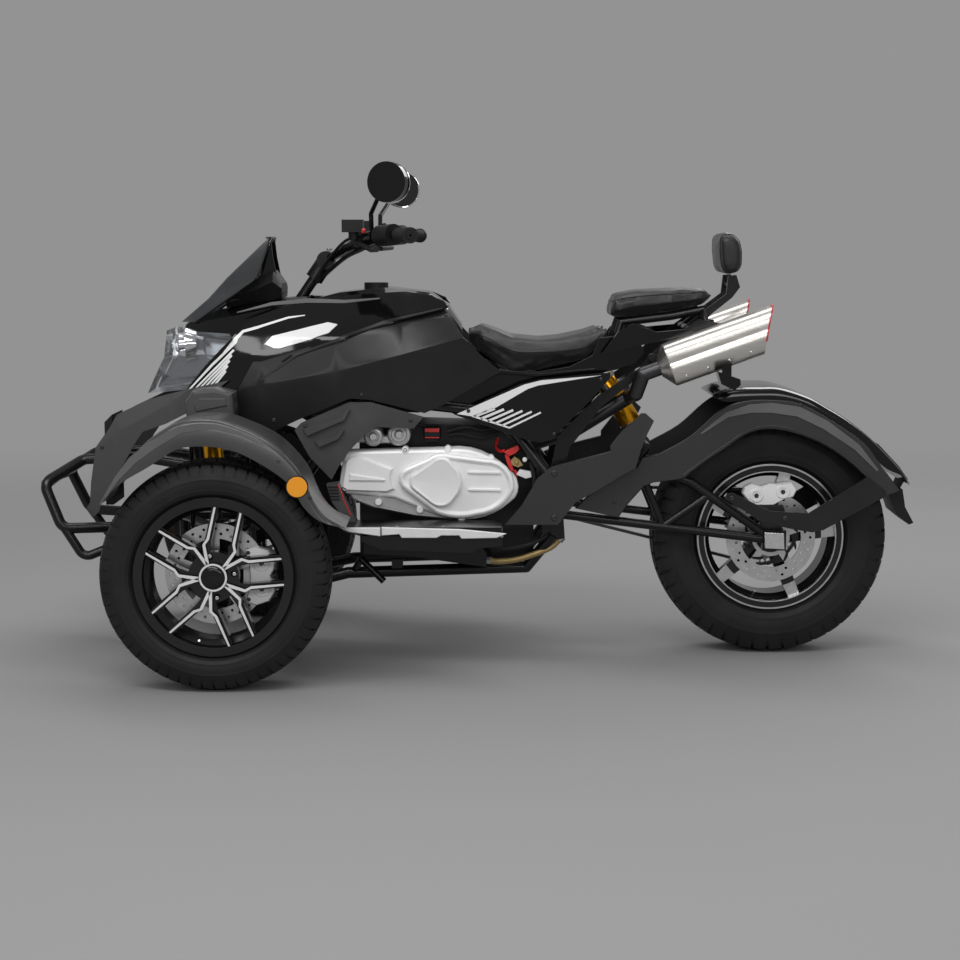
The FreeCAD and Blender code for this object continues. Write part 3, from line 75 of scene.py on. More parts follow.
# ------------------------------------------------------------------ materials
class Graph:
    """A material's node tree, with short calls for the nodes used here."""

    def __init__(self, name):
        self.material = bpy.data.materials.new(name)
        self.material.use_nodes = True
        self.tree = self.material.node_tree
        self.shader = self.tree.nodes["Principled BSDF"]
        self.coords = self.put("TexCoord", "Object")

    def put(self, kind, output, sockets=(), **settings):
        """A new node's output, after its sockets are fed with numbers or with other nodes' outputs."""
        made = self.tree.nodes.new("ShaderNode" + kind)
        for key, value in settings.items():
            setattr(made, key, value)
        for key, value in dict(sockets).items():
            self.feed(made.inputs[key], value)
        return made.outputs[output]

    def feed(self, socket, value):
        if isinstance(value, bpy.types.NodeSocket):
            self.tree.links.new(value, socket)
        else:
            socket.default_value = value

    def set(self, **values):
        for key, value in values.items():
            self.feed(self.shader.inputs[key.replace("_", " ")], value)

    def noise(self, scale, detail=3.0, vector=None):
        sockets = {"Scale": scale, "Detail": detail, "Vector": vector or self.coords}
        return self.put("TexNoise", "Fac", sockets)

    def tones(self, source, low, high, places=(0.3, 0.7)):
        made = self.tree.nodes.new("ShaderNodeValToRGB")
        for element, place, colour in zip(made.color_ramp.elements, places, (low, high)):
            element.position = place
            element.color = (*colour, 1)
        self.feed(made.inputs["Fac"], source)
        return made.outputs["Color"]

    def span(self, source, low, high, start=0.0, end=1.0):
        return self.put("MapRange", "Result", {"Value": source, "From Min": start, "From Max": end,
                                               "To Min": low, "To Max": high})

    def math(self, operation, *values):
        return self.put("Math", "Value", enumerate(values), operation=operation)

    def between(self, value, low, high):
        return self.product(self.math("GREATER_THAN", value, low), self.math("LESS_THAN", value, high))

    def product(self, a, b):
        return self.math("MULTIPLY", a, b)

    def reach(self, a, b):
        return self.math("SQRT", self.math("ADD", self.product(a, a), self.product(b, b)))

    def axes(self):
        split = self.tree.nodes.new("ShaderNodeSeparateXYZ")
        self.feed(split.inputs["Vector"], self.coords)
        return split.outputs

    def bump(self, height, distance, strength, edge=0.0):
        sockets = {"Strength": strength, "Distance": distance, "Height": height}
        if edge:
            sockets["Normal"] = self.put("Bevel", "Normal", {"Radius": edge}, samples=3)
        self.set(Normal=self.put("Bump", "Normal", sockets))

    def weave(self, period):
        """Waves crossed at right angles, from -1 to 1."""
        x, y, z = self.axes()
        turn = 2 * math.pi / period
        return self.product(*(self.math("SINE", self.product(self.math(way, x, z), turn))
                              for way in ("ADD", "SUBTRACT")))


def surface(name, low, high, tone, gloss, grain=None, edge=EDGE, drawn=None, places=(0.3, 0.7), **values):
    """Two tones over one noise (scale, detail), roughness over a second (scale, detail, low, high) and bumps
    from a third (scale, detail, distance, strength). drawn is a factor along each axis for all of them."""
    g = Graph(name)
    vector = g.put("Mapping", "Vector", {"Scale": drawn, "Vector": g.coords}) if drawn else None
    g.set(Base_Color=g.tones(g.noise(*tone, vector), low, high, places),
          Roughness=g.span(g.noise(*gloss[:2], vector), *gloss[2:]), **values)
    if grain:
        g.bump(g.noise(*grain[:2], vector), *grain[2:], edge)
    return g.material


def painted(name, low, high, rough_low, rough_high, coat=0.0, shine=0.5, tint=(1, 1, 1), edge=EDGE):
    """Paint: slow colour variation, fine orange peel and uneven gloss."""
    return surface(name, times(tint, low), times(tint, high), (6.0, 3.0), (30.0, 5.0, rough_low, rough_high),
                   (900.0, 2.0, 0.00006, 0.2), edge, Coat_Weight=coat, Coat_Roughness=0.04,
                   Specular_IOR_Level=shine)


def satin_plastic(name, low, high, rough_low=0.42, rough_high=0.56, grain=700.0, depth=0.0002, shine=0.3):
    """Moulded plastic with a fine leather-like grain."""
    return surface(name, grey(low), grey(high), (9.0, 3.0), (60.0, 4.0, rough_low, rough_high),
                   (grain, 3.0, depth, 0.4), Specular_IOR_Level=shine)


def bare_metal(name, colour, rough_low, rough_high, distance=0.00008, edge=EDGE, drawn=None, low=None):
    """Metal with fine marks, drawn out along one direction when brushed."""
    return surface(name, low or times(colour, 0.84), colour, (160.0, 5.0),
                   (40.0, 6.0, rough_low, rough_high), (160.0, 5.0, distance, 0.3), edge, drawn, (0.25, 0.75),
                   Metallic=1.0)


def cast_paint(name, low, high):
    """Bright silver paint on a casting: part metallic, with a fine cast grain."""
    return surface(name, grey(low), grey(high), (14.0, 4.0), (60.0, 5.0, 0.30, 0.42),
                   (420.0, 4.0, 0.0001, 0.3), Metallic=0.15)


def rubber(name, low, high):
    return surface(name, grey(low), grey(high), (14.0, 4.0), (50.0, 5.0, 0.46, 0.64),
                   (500.0, 4.0, 0.0002, 0.35), 0.0, Specular_IOR_Level=0.3)


def clear(name, colour, rough=0.02, ior=1.12, through=0.95):
    """Moulded clear or smoked plastic: thin-looking, with a glossy face."""
    return surface(name, times(colour, 0.94), colour, (5.0, 3.0), (60.0, 3.0, rough, rough * 2),
                   Transmission_Weight=through, IOR=ior, Coat_Weight=1.0, Coat_Roughness=0.02)


def vinyl(name, low, high):
    """Upholstery vinyl: a pebbled grain of small cells and soft creases."""
    g = Graph(name)
    cells = g.put("TexVoronoi", "Distance", {"Scale": 520.0, "Vector": g.coords})
    g.bump(g.math("ADD", cells, g.product(g.noise(30.0), 1.5)), 0.0004, 0.35)
    g.set(Base_Color=g.tones(g.noise(12.0, 4.0), grey(low), grey(high)),
          Roughness=g.span(g.noise(25.0, 4.0), 0.34, 0.48), Sheen_Weight=0.1)
    return g.material


def carbon(name, low, high, period=0.0034):
    """Printed twill weave under satin lacquer."""
    g = Graph(name)
    weave = g.weave(period * math.sqrt(2))
    g.bump(weave, 0.0001, 0.2, EDGE)
    g.set(Base_Color=g.tones(g.span(weave, 0.0, 1.0, -1.0), grey(low), grey(high), (0.25, 0.75)),
          Roughness=g.span(g.noise(25.0, 4.0), 0.3, 0.42), Metallic=0.3, Coat_Weight=0.25, Coat_Roughness=0.2)
    return g.material


def braided(name, low, high):
    """Woven metal braid round a hose."""
    g = Graph(name)
    weave = g.span(g.weave(0.0045), 0.0, 1.0, -1.0)
    g.bump(weave, 0.0004, 0.6)
    g.set(Base_Color=g.tones(weave, low, high, (0.2, 0.8)), Roughness=g.span(g.noise(60.0), 0.35, 0.5),
          Metallic=0.7)
    return g.material


def wheel_paint(name, axle, disc_y, disc_radius, lip=None, face=None):
    """Gloss black wheel, with bare metal on the brake disc and, where they are given, on the rim's lip
    (radius from, to, least y) and on the spokes' face (least y, radius from, to)."""
    g = Graph(name)
    x, y, z = g.axes()
    reach = g.reach(g.math("SUBTRACT", x, (axle[0] + FRONT_AXLE_X) / 1000),
                    g.math("SUBTRACT", z, axle[1] / 1000))
    side = g.math("ABSOLUTE", y)
    bright = g.product(g.between(side, (disc_y - 3.2) / 1000, (disc_y + 3.2) / 1000),
                       g.between(reach, 0.04, (disc_radius + 1) / 1000))
    if lip:
        bright = g.math("MAXIMUM", bright, g.product(g.between(reach, lip[0] / 1000, lip[1] / 1000),
                                                     g.math("GREATER_THAN", side, lip[2] / 1000)))
    if face:
        bright = g.math("MAXIMUM", bright, g.product(g.math("GREATER_THAN", y, face[0] / 1000),
                                                     g.between(reach, face[1] / 1000, face[2] / 1000)))
    colour = g.tree.nodes.new("ShaderNodeMix")
    rough = g.tree.nodes.new("ShaderNodeMix")
    colour.data_type, rough.data_type = "RGBA", "FLOAT"
    for socket, value in ((0, bright), (6, g.tones(g.noise(8.0), grey(0.006), grey(0.011))),
                          (7, g.tones(g.noise(60.0, 5.0), grey(0.58), grey(0.74), (0.25, 0.75)))):
        g.feed(colour.inputs[socket], value)
    for socket, value in ((0, bright), (2, g.span(g.noise(30.0, 4.0), 0.1, 0.2)),
                          (3, g.span(g.noise(90.0, 4.0), 0.24, 0.36))):
        g.feed(rough.inputs[socket], value)
    rings = g.math("SINE", g.product(reach, 5200.0))
    g.bump(g.product(rings, bright), 0.00003, 0.3, EDGE)
    g.set(Base_Color=colour.outputs[2], Roughness=rough.outputs[0], Metallic=bright)
    return g.material


LOOKS = {
    # name: (maker, its values)
    "gloss_black": (painted, 0.0025, 0.0045, 0.06, 0.12, 0.0, 0.45),
    "satin_black": (painted, 0.005, 0.009, 0.30, 0.40, 0.0, 0.35),
    "frame_black": (painted, 0.004, 0.008, 0.2, 0.3, 0.0, 0.4),
    "smoke_grey": (painted, 0.040, 0.058, 0.24, 0.34, 0.2),
    # A lighter grey for the raised bands on the shrouds, fenders and fairing: painted highlight, not a paint
    # colour of its own.
    "band_grey": (painted, 0.10, 0.14, 0.22, 0.3, 0.2),
    "glass_dark": (painted, 0.006, 0.010, 0.02, 0.04, 0.5),
    "white": (painted, 0.80, 0.86, 0.25, 0.35, 0.4, 0.5, (1, 1, 1), 0.0),
    "amber": (painted, 0.9, 1.0, 0.25, 0.35, 0.4, 0.5, (0.95, 0.36, 0.01)),
    "red": (painted, 0.45, 0.6, 0.3, 0.4, 0.3, 0.5, (1.0, 0.03, 0.03)),
    "charcoal": (satin_plastic, 0.009, 0.015, 0.26, 0.36, 900.0, 0.00008, 0.4),
    "plastic": (satin_plastic, 0.007, 0.013),
    "foot_grey": (satin_plastic, 0.045, 0.075, 0.45, 0.6, 420.0, 0.0004),
    "carbon_grey": (carbon, 0.022, 0.13),
    "carbon_dark": (carbon, 0.008, 0.060),
    "tyre": (rubber, 0.009, 0.015),
    "grip": (rubber, 0.007, 0.012),
    "vinyl": (vinyl, 0.006, 0.010),
    "front_wheel": (wheel_paint, (0, FRONT_AXLE_Z), 498, 125),
    "rear_wheel": (wheel_paint, REAR_AXLE, 90, 118, (190.5, 195.0, 81.8), (68.2, 138, 176)),
    "steel": (bare_metal, (0.52, 0.51, 0.49), 0.26, 0.4),
    "dark_steel": (bare_metal, (0.09, 0.09, 0.095), 0.3, 0.45),
    "machined": (bare_metal, (0.86, 0.86, 0.87), 0.2, 0.32),
    "chrome": (bare_metal, (0.9, 0.9, 0.92), 0.04, 0.09, 0.00008, 0.0),
    "cast": (bare_metal, grey(0.66), 0.38, 0.52, 0.0002),
    "stainless": (bare_metal, (0.80, 0.77, 0.73), 0.26, 0.36, 0.00008, EDGE, (0.05, 1, 1)),
    "gold": (bare_metal, (0.95, 0.46, 0.02), 0.2, 0.3, 0.00005, EDGE, None, (0.80, 0.36, 0.012)),
    "lamp_bowl": (bare_metal, (0.30, 0.31, 0.33), 0.12, 0.22),
    "cast_bright": (cast_paint, 0.88, 0.95),
    "machined_plate": (cast_paint, 0.70, 0.82),
    "braid": (braided, (0.16, 0.10, 0.03), (0.62, 0.47, 0.22)),
    "lens": (clear, (0.93, 0.95, 0.97)),
    "smoke": (clear, (0.16, 0.17, 0.18), 0.03, 1.08, 0.85),
}
CAD_NODES = {
    # material: the CAD nodes that wear it, apart from those that a piece below stands for
    "front_wheel": "left_front_wheel right_front_wheel",
    "rear_wheel": "rear_wheel",
    "frame_black": """left_knuckle right_knuckle suspension_arms steering_stem handlebar_tube main_frame
        swingarm grab_rail rear_subframe footboards front_bumper side_stand""",
    "steel": "left_tie_rod right_tie_rod rear_sprocket pitman_arm",
    "dark_steel": "exhaust_pipes drive_chain shock_absorbers",
    "grip": "grips",
    "plastic": "bar_controls fuel_cap front_grille instrument_cowl mud_flap",
    "gloss_black": "mirrors tank_cover front_cowl rear_side_covers turn_signals",
    "satin_black": "engine_block",
    "charcoal": "side_panels fender_stay",
    "carbon_grey": "nose_panels",
    "carbon_dark": "peg_covers",
    "foot_grey": "foot_panels brake_pedal",
    "smoke": "windscreen",
}


# ------------------------------------------------------------------ stage
def show(name, data):
    thing = bpy.data.objects.new(name, data)
    bpy.context.scene.collection.objects.link(thing)
    return thing


def make_camera():
    data = bpy.data.cameras.new("camera")
    data.lens = CAMERA_LENS
    data.sensor_width = SENSOR
    camera = show("camera", data)
    camera.location = CAMERA_PLACE
    camera.rotation_euler = (math.radians(90 - CAMERA_PITCH), 0, math.pi)
    bpy.context.scene.camera = camera


def make_lights():
    for name, place, target, size, power in LIGHTS:
        data = bpy.data.lights.new(name, "AREA")
        data.shape = "RECTANGLE"
        data.size, data.size_y = size
        data.energy = power
        light = show(name, data)
        light.location = place
        light.rotation_euler = (Vector(target) - Vector(place)).to_track_quat("-Z", "Y").to_euler()


def make_world():
    """Even soft light, and a plain grey where the camera looks past the object, directly or by way of a lens
    or a reflection."""
    world = bpy.data.worlds.new("world")
    bpy.context.scene.world = world
    world.use_nodes = True
    new, link = world.node_tree.nodes.new, world.node_tree.links.new
    world.node_tree.nodes.clear()
    mix, rays = new("ShaderNodeMixShader"), new("ShaderNodeLightPath")
    for socket, strength, value in ((1, WORLD_LIGHT, 1.0), (2, 1.0, BACKDROP_GREY)):
        light = new("ShaderNodeBackground")
        light.inputs["Color"].default_value = (*grey(value), 1)
        light.inputs["Strength"].default_value = strength
        link(light.outputs[0], mix.inputs[socket])
    share = rays.outputs["Is Camera Ray"]
    for kind in ("Is Transmission Ray", "Is Glossy Ray"):
        either = new("ShaderNodeMath")
        either.operation = "MAXIMUM"
        link(share, either.inputs[0])
        link(rays.outputs[kind], either.inputs[1])
        share = either.outputs[0]
    link(share, mix.inputs["Fac"])
    link(mix.outputs[0], new("ShaderNodeOutputWorld").inputs["Surface"])


def make_floor():
    """A floor that fades into the backdrop, so that no horizon shows."""
    mesh = bpy.data.meshes.new("floor")
    corners = [(x * FLOOR_HALF, y * FLOOR_HALF, 0) for x, y in ((-1, -1), (1, -1), (1, 1), (-1, 1))]
    mesh.from_pydata(corners, [], [(0, 1, 2, 3)])
    g = Graph("floor_paint")
    x, y, z = g.axes()
    fade = g.span(g.reach(x, y), 0.0, 1.0, *FLOOR_FADE)
    eased = g.product(g.product(fade, fade), g.math("SUBTRACT", 3.0, g.product(fade, 2.0)))
    g.set(Base_Color=g.tones(g.noise(0.6, 2.0), grey(FLOOR_GREY * 0.985), grey(FLOOR_GREY * 1.015)),
          Roughness=g.span(g.noise(4.0), 0.75, 0.85), Specular_IOR_Level=0.1)
    mixed = g.put("MixShader", 0, {0: eased, 1: g.shader.outputs[0], 2: g.put("BsdfTransparent", 0)})
    g.feed(g.tree.nodes["Material Output"].inputs["Surface"], mixed)
    mesh.materials.append(g.material)
    show("floor", mesh)


# ------------------------------------------------------------------ mesh building
def finished(name, bm, material, body, angle, replaces):
    """Makes a bmesh a piece that rides on a body, and that stands for a CAD node if one is named."""
    bmesh.ops.recalc_face_normals(bm, faces=bm.faces[:])
    mesh = bpy.data.meshes.new(name)
    bm.to_mesh(mesh)
    bm.free()
    mesh.shade_smooth()
    mesh.set_sharp_from_angle(angle=math.radians(angle))
    mesh.materials.append(MATERIALS[material])
    piece = show(name, mesh)
    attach(piece, body)
    if replaces:
        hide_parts(replaces)
    return piece


def frame_along(axis):
    """Two directions across an axis."""
    axis = axis.normalized()
    side = Vector((0, 0, 1)) if abs(axis.z) < 0.9 else Vector((1, 0, 0))
    one = axis.cross(side).normalized()
    return one, axis.cross(one).normalized()


def smooth_line(points, steps):
    """Catmull-Rom line through points."""
    points = [Vector(p) for p in points]
    if steps < 2 or len(points) < 3:
        return points
    ends = [2 * points[0] - points[1]] + points + [2 * points[-1] - points[-2]]
    line = []
    for a, b, c, d in zip(ends, ends[1:], ends[2:], ends[3:]):
        for k in range(steps):
            t = k / steps
            line.append(0.5 * (2 * b + (c - a) * t + (2 * a - 5 * b + 4 * c - d) * t * t
                               + (3 * b - a - 3 * c + d) * t ** 3))
    return line + [points[-1]]


def arc(first, through, last, count):
    """Points on the circle through three points, from the first to before the last."""
    (ax, ay), (bx, by), (cx, cy) = first, through, last
    d = 2 * (ax * (by - cy) + bx * (cy - ay) + cx * (ay - by))
    a, b, c = ax * ax + ay * ay, bx * bx + by * by, cx * cx + cy * cy
    ux = (a * (by - cy) + b * (cy - ay) + c * (ay - by)) / d
    uy = (a * (cx - bx) + b * (ax - cx) + c * (bx - ax)) / d
    r = math.hypot(ax - ux, ay - uy)
    a0, a1, a2 = (math.atan2(y - uy, x - ux) for x, y in (first, through, last))
    a1 -= 2 * math.pi * round((a1 - a0) / (2 * math.pi))
    a2 -= 2 * math.pi * round((a2 - a1) / (2 * math.pi))
    return [(ux + r * math.cos(a0 + (a2 - a0) * k / count), uy + r * math.sin(a0 + (a2 - a0) * k / count))
            for k in range(count)]


def polar(angle, radius, side=0.0, centre=(0, 0)):
    """(x, z) round a centre, at an angle in degrees, stepped sideways."""
    a = math.radians(angle)
    return (centre[0] + (radius * math.cos(a) - side * math.sin(a)),
            centre[1] + (radius * math.sin(a) + side * math.cos(a)))


def ribbon(points, widths):
    """Outline of a strip along (x, z) points, with its own width at each."""
    left, right = [], []
    for k, ((px, pz), width) in enumerate(zip(points, widths)):
        (ax, az), (bx, bz) = points[max(k - 1, 0)], points[min(k + 1, len(points) - 1)]
        length = math.hypot(bx - ax, bz - az)
        nx, nz = -(bz - az) / length * width / 2, (bx - ax) / length * width / 2
        left.append((px + nx, pz + nz))
        right.append((px - nx, pz - nz))
    return left + right[::-1]


def flow(outline, steps=6):
    """Outline points in which (mx, mz, x, z) is an arc through (mx, mz) to (x, z)."""
    points = []
    for point in outline:
        if len(point) == 2:
            points.append(point)
        else:
            points += arc(points[-1], point[:2], point[2:], steps)[1:] + [point[2:]]
    return points


def drawn_in(outline, by):
    """Outline moved inwards along its corners."""
    turning = sum(ax * bz - bx * az for (ax, az), (bx, bz) in zip(outline, outline[1:] + outline[:1]))
    by = by if turning > 0 else -by
    moved = []
    for (ax, az), (bx, bz), (cx, cz) in zip(outline[-1:] + outline[:-1], outline, outline[1:] + outline[:1]):
        one, two = Vector((bx - ax, bz - az)).normalized(), Vector((cx - bx, cz - bz)).normalized()
        across = Vector((-one.y, one.x))
        away = Vector((-(one.y + two.y), one.x + two.x))
        away = (across if away.length < 1e-6 else away).normalized()
        lean = max(away.dot(across), 0.4)
        moved.append((bx + away.x * by / lean, bz + away.y * by / lean))
    return moved


class Shape:
    """Faces gathered into one piece, in millimetres. Every call but the last, piece, gives the shape back."""

    def __init__(self):
        self.verts, self.faces = [], []

    def add(self, verts, faces):
        base = len(self.verts)
        self.verts += [Vector(v) for v in verts]
        self.faces += [tuple(base + k for k in face) for face in faces]
        return self

    def loft(self, rings, first=1, last=1):
        """Skin over rings of points, with end faces: first is 1 or -1 for the order of its points, or 0."""
        n, end = len(rings[0]), (len(rings) - 1) * len(rings[0])
        faces = [(k + j, k + (j + 1) % n, k + n + (j + 1) % n, k + n + j) for k in range(0, end, n)
                 for j in range(n)]
        if first:
            faces.append(tuple(range(n)[::first]))
        if last:
            faces.append(tuple(range(end, end + n)))
        return self.add([v for ring in rings for v in ring], faces)

    def stepped(self, outline, *levels):
        """A rounded plate: the outline at each (drawn in by, y), joined."""
        outline = flow(outline)
        return self.loft([[(x, y, z) for x, z in drawn_in(outline, by)] for by, y in levels])

    def prism(self, outline, y0, y1, taper=0.0):
        """Plate from an (x, z) outline between two values of y, its far face drawn in by taper."""
        n = len(outline)
        cx, cz = sum(x for x, z in outline) / n, sum(z for x, z in outline) / n
        shares = [1 - taper / (math.hypot(x - cx, z - cz) or 1.0) for x, z in outline]
        verts = [(x, y0, z) for x, z in outline]
        verts += [(cx + (x - cx) * share, y1, cz + (z - cz) * share)
                  for (x, z), share in zip(outline, shares)]
        sides = [(k, (k + 1) % n, (k + 1) % n + n, k + n) for k in range(n)]
        return self.add(verts, sides + [tuple(range(n)[::-1]), tuple(range(n, 2 * n))])

    def strip(self, points, widths, y0, y1):
        """Flat strip along (x, z) points, its faces in one quad between each two."""
        outline, n = ribbon(points, widths), 2 * len(points)
        faces = []
        for k in range(len(points) - 1):
            quad = (k, k + 1, n - 2 - k, n - 1 - k)
            faces += [quad, tuple(v + n for v in quad[::-1])]
        faces += [(k, (k + 1) % n, (k + 1) % n + n, k + n) for k in range(n)]
        return self.add([(x, y, z) for y in (y0, y1) for x, z in outline], faces)

    def lathe(self, profile, centre, axis=Y_AXIS, steps=40, closed=False, ends=True):
        """Revolved profile of (radius, distance along the axis)."""
        centre, axis, m = Vector(centre), Vector(axis).normalized(), len(profile)
        one, two = frame_along(axis)
        verts, faces = [], []
        for k in range(steps):
            a = 2 * math.pi * k / steps
            out = one * math.cos(a) + two * math.sin(a)
            verts += [centre + out * r + axis * d for r, d in profile]
            near, far = k * m, (k + 1) % steps * m
            faces += [(near + j, near + (j + 1) % m, far + (j + 1) % m, far + j)
                      for j in range(m if closed else m - 1)]
        for j, way in ((0, 1), (m - 1, -1)):
            if ends and not closed and profile[j][0] > 0:
                faces.append(tuple(range(j, steps * m, m)[::way]))
        return self.add(verts, faces)

    def pipe(self, points, radius, sides=12, smooth=1):
        """Round tube along points, with flat ends."""
        line = smooth_line(points, smooth)
        one = frame_along((line[1] - line[0]).normalized())[0]
        rings = []
        for k, here in enumerate(line):
            axis = (line[min(k + 1, len(line) - 1)] - line[max(k - 1, 0)]).normalized()
            one = (one - axis * one.dot(axis)).normalized()
            two = axis.cross(one)
            rings.append([here + one * math.cos(a) * radius + two * math.sin(a) * radius
                          for a in (2 * math.pi * j / sides for j in range(sides))])
        return self.loft(rings, -1)

    def bolt(self, x, y, z, radius, side=LEFT, height=3.5):
        """Domed socket-head fastener that faces out along Y."""
        h, r = height, radius
        profile = [(0, h * 0.35), (r * 0.42, h * 0.35), (r * 0.5, h), (r * 0.82, h * 0.92), (r, h * 0.55),
                   (r, -1.5)]
        return self.lathe(profile, (x, y, z), (0, side, 0), 16)

    def both(self):
        """The same again on the other side."""
        return self.add([(v.x, -v.y, v.z) for v in self.verts], [tuple(reversed(f)) for f in self.faces])

    def piece(self, name, material, body="chassis", slot="black_plastic", bevel=0.0, angle=32.0,
              replaces=None):
        bm = bmesh.new()
        verts = [bm.verts.new(at(*v)) for v in self.verts]
        for face in self.faces:
            bm.faces.new([verts[k] for k in face])
        bmesh.ops.remove_doubles(bm, verts=bm.verts[:], dist=MERGE_GAP)
        made = finished(name, bm, material, body, angle, replaces)
        if bevel:
            soften = made.modifiers.new("soften", "BEVEL")
            soften.width = bevel / 1000
            soften.segments = 2
            soften.limit_method = "ANGLE"
            soften.angle_limit = math.radians(BEVEL_ANGLE)
            made.modifiers.new("weigh", "WEIGHTED_NORMAL").keep_sharp = True
        return made


# ------------------------------------------------------------------ surfaces to lay things on
def tree_of(thing):
    return BVHTree.FromPolygons([v.co.copy() for v in thing.data.vertices],
                                [tuple(p.vertices) for p in thing.data.polygons])


class Skin:
    """The surface of a CAD node."""

    def __init__(self, name):
        self.tree = tree_of(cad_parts[name])

    def hit(self, x, z, side=LEFT):
        """y and outward direction of the outermost surface at x and z, or None."""
        place, normal, _, _ = self.tree.ray_cast(at(x, side * RAY_START, z), Vector((0, -side, 0)))
        if place is None:
            return None
        return place.y * 1000, -normal if normal.y * side < 0 else normal

    def top(self, x, z, side=LEFT):
        """The outermost of a few near rays, so that a seam between panels is bridged."""
        steps = ((0, 0), (SEAM_GAP, 0), (-SEAM_GAP, 0), (0, SEAM_GAP), (0, -SEAM_GAP))
        found = [hit for hit in (self.hit(x + dx, z + dz, side) for dx, dz in steps) if hit]
        return max(found, key=lambda hit: hit[0] * side) if found else None


class Rows:
    """A side surface through rows of (x, (y, z), ...), measured like a Skin."""

    def __init__(self, rows):
        self.rows = sorted(rows, key=lambda row: row[0])

    def depth(self, x, z):
        def in_row(points):
            points = sorted(points, key=lambda p: p[1])
            pairs = list(zip(points, points[1:]))
            (ya, za), (yb, zb) = next((pair for pair in pairs if z <= pair[1][1]), pairs[-1])
            return ya + (yb - ya) * (z - za) / (zb - za)
        pairs = list(zip(self.rows, self.rows[1:]))
        low, high = next((pair for pair in pairs if x <= pair[1][0]), pairs[-1])
        share = (x - low[0]) / (high[0] - low[0])
        return in_row(low[1:]) * (1 - share) + in_row(high[1:]) * share

    def top(self, x, z, side=LEFT):
        out = Vector((-(self.depth(x + 2, z) - self.depth(x - 2, z)) / 4, 1,
                      -(self.depth(x, z + 2) - self.depth(x, z - 2)) / 4)).normalized()
        return side * self.depth(x, z), Vector((out.x, side * out.y, out.z))


def sticker(name, outlines, skin, material, hands=(LEFT, RIGHT), cell=8.0, proud=(0.15, 0.75), body="chassis",
            replaces=None):
    """Thin shapes laid on the bodywork on each side: (x, z) outlines, cut into cells that follow the skin."""
    bm = bmesh.new()
    for hand in hands:
        part = bmesh.new()
        for points in outlines:
            part.faces.new([part.verts.new((px, 0, pz)) for px, pz in points])
        bmesh.ops.triangulate(part, faces=part.faces[:])
        for axis in (0, 2):
            values = [v.co[axis] for v in part.verts]
            where, normal = [0, 0, 0], [0, 0, 0]
            where[axis], normal[axis] = min(values) + cell, 1
            while where[axis] < max(values):
                bmesh.ops.bisect_plane(part, geom=part.verts[:] + part.edges[:] + part.faces[:],
                                       plane_co=where, plane_no=normal)
                where[axis] += cell
        bmesh.ops.triangulate(part, faces=part.faces[:])
        found = {v: skin.top(v.co.x, v.co.z, hand) for v in part.verts}
        kept = [(v.co.copy(), hit) for v, hit in found.items() if hit]
        copies = {}
        for v, hit in found.items():
            if not hit:
                near = min(kept, key=lambda pair: (pair[0] - v.co).length, default=None)
                hit = near[1] if near and (near[0] - v.co).length < 2 * cell else None
            if hit:
                base = Vector((v.co.x, hit[0], v.co.z))
                copies[v] = [bm.verts.new(at(*(base + hit[1] * out))) for out in proud]
        for face in part.faces:
            if all(v in copies for v in face.verts):
                bm.faces.new([copies[v][1] for v in face.verts])
                bm.faces.new([copies[v][0] for v in reversed(face.verts)])
        for edge in part.edges:
            if len([f for f in edge.link_faces if all(v in copies for v in f.verts)]) == 1:
                (low_a, high_a), (low_b, high_b) = (copies[v] for v in edge.verts)
                bm.faces.new([low_a, low_b, high_b, high_a])
        part.free()
    return finished(name, bm, material, body, 40.0, replaces)


# ------------------------------------------------------------------ CAD nodes
def smooth_by_angle(degrees):
    """Geometry nodes that shade smooth across every edge flatter than an angle."""
    tree = bpy.data.node_groups.new("smooth_by_angle", "GeometryNodeTree")
    for way in ("INPUT", "OUTPUT"):
        tree.interface.new_socket("Geometry", in_out=way, socket_type="NodeSocketGeometry")
    new, link = tree.nodes.new, tree.links.new
    enter, leave = new("NodeGroupInput"), new("NodeGroupOutput")
    faces, edges = new("GeometryNodeSetShadeSmooth"), new("GeometryNodeSetShadeSmooth")
    edges.domain = "EDGE"
    flat = new("FunctionNodeCompare")
    flat.data_type = "FLOAT"
    flat.operation = "LESS_THAN"
    flat.inputs[1].default_value = math.radians(degrees)
    link(enter.outputs[0], faces.inputs["Geometry"])
    link(faces.outputs[0], edges.inputs["Geometry"])
    link(new("GeometryNodeInputMeshEdgeAngle").outputs["Unsigned Angle"], flat.inputs[0])
    link(flat.outputs[0], edges.inputs["Shade Smooth"])
    link(edges.outputs[0], leave.inputs[0])
    return tree


def finish_nodes():
    shading = smooth_by_angle(FLAT_ANGLE)
    looks = {node: look for look, nodes in CAD_NODES.items() for node in nodes.split()}
    for name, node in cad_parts.items():
        node.data.materials.clear()
        node.data.materials.append(MATERIALS[looks.get(name, "plastic")])
        node.modifiers.new("weld", "WELD").merge_threshold = WELD_GAP
        node.modifiers.new("smooth", "NODES").node_group = shading
        node.modifiers.new("weigh", "WEIGHTED_NORMAL").keep_sharp = True


# ------------------------------------------------------------------ tyres and wheels
# A tread's columns as shares of one pitch, those that are cut by kind of row, and the kinds by least share of
# the crown's half width
TYRE_COLUMNS = [0.0, 0.03, 0.17, 0.20, 0.42, 0.50, 0.53, 0.64, 0.67, 0.85]
TYRE_GROOVES = {"edge": (1, 2), "side": (1, 2), "block": (6, 7), "middle": ()}
CROWN_KINDS = (("edge", 0.93), ("rib", 0.78), ("block", 0.36), ("rib", 0.2), ("middle", -1))
TREAD_SLANT = 0.55
WALL_RINGS = (3, 4, 14, 15)     # the wall's rows that stand out as raised rings
SPOKE_FACE = 70                 # from a front wheel's middle out to the face of its spokes


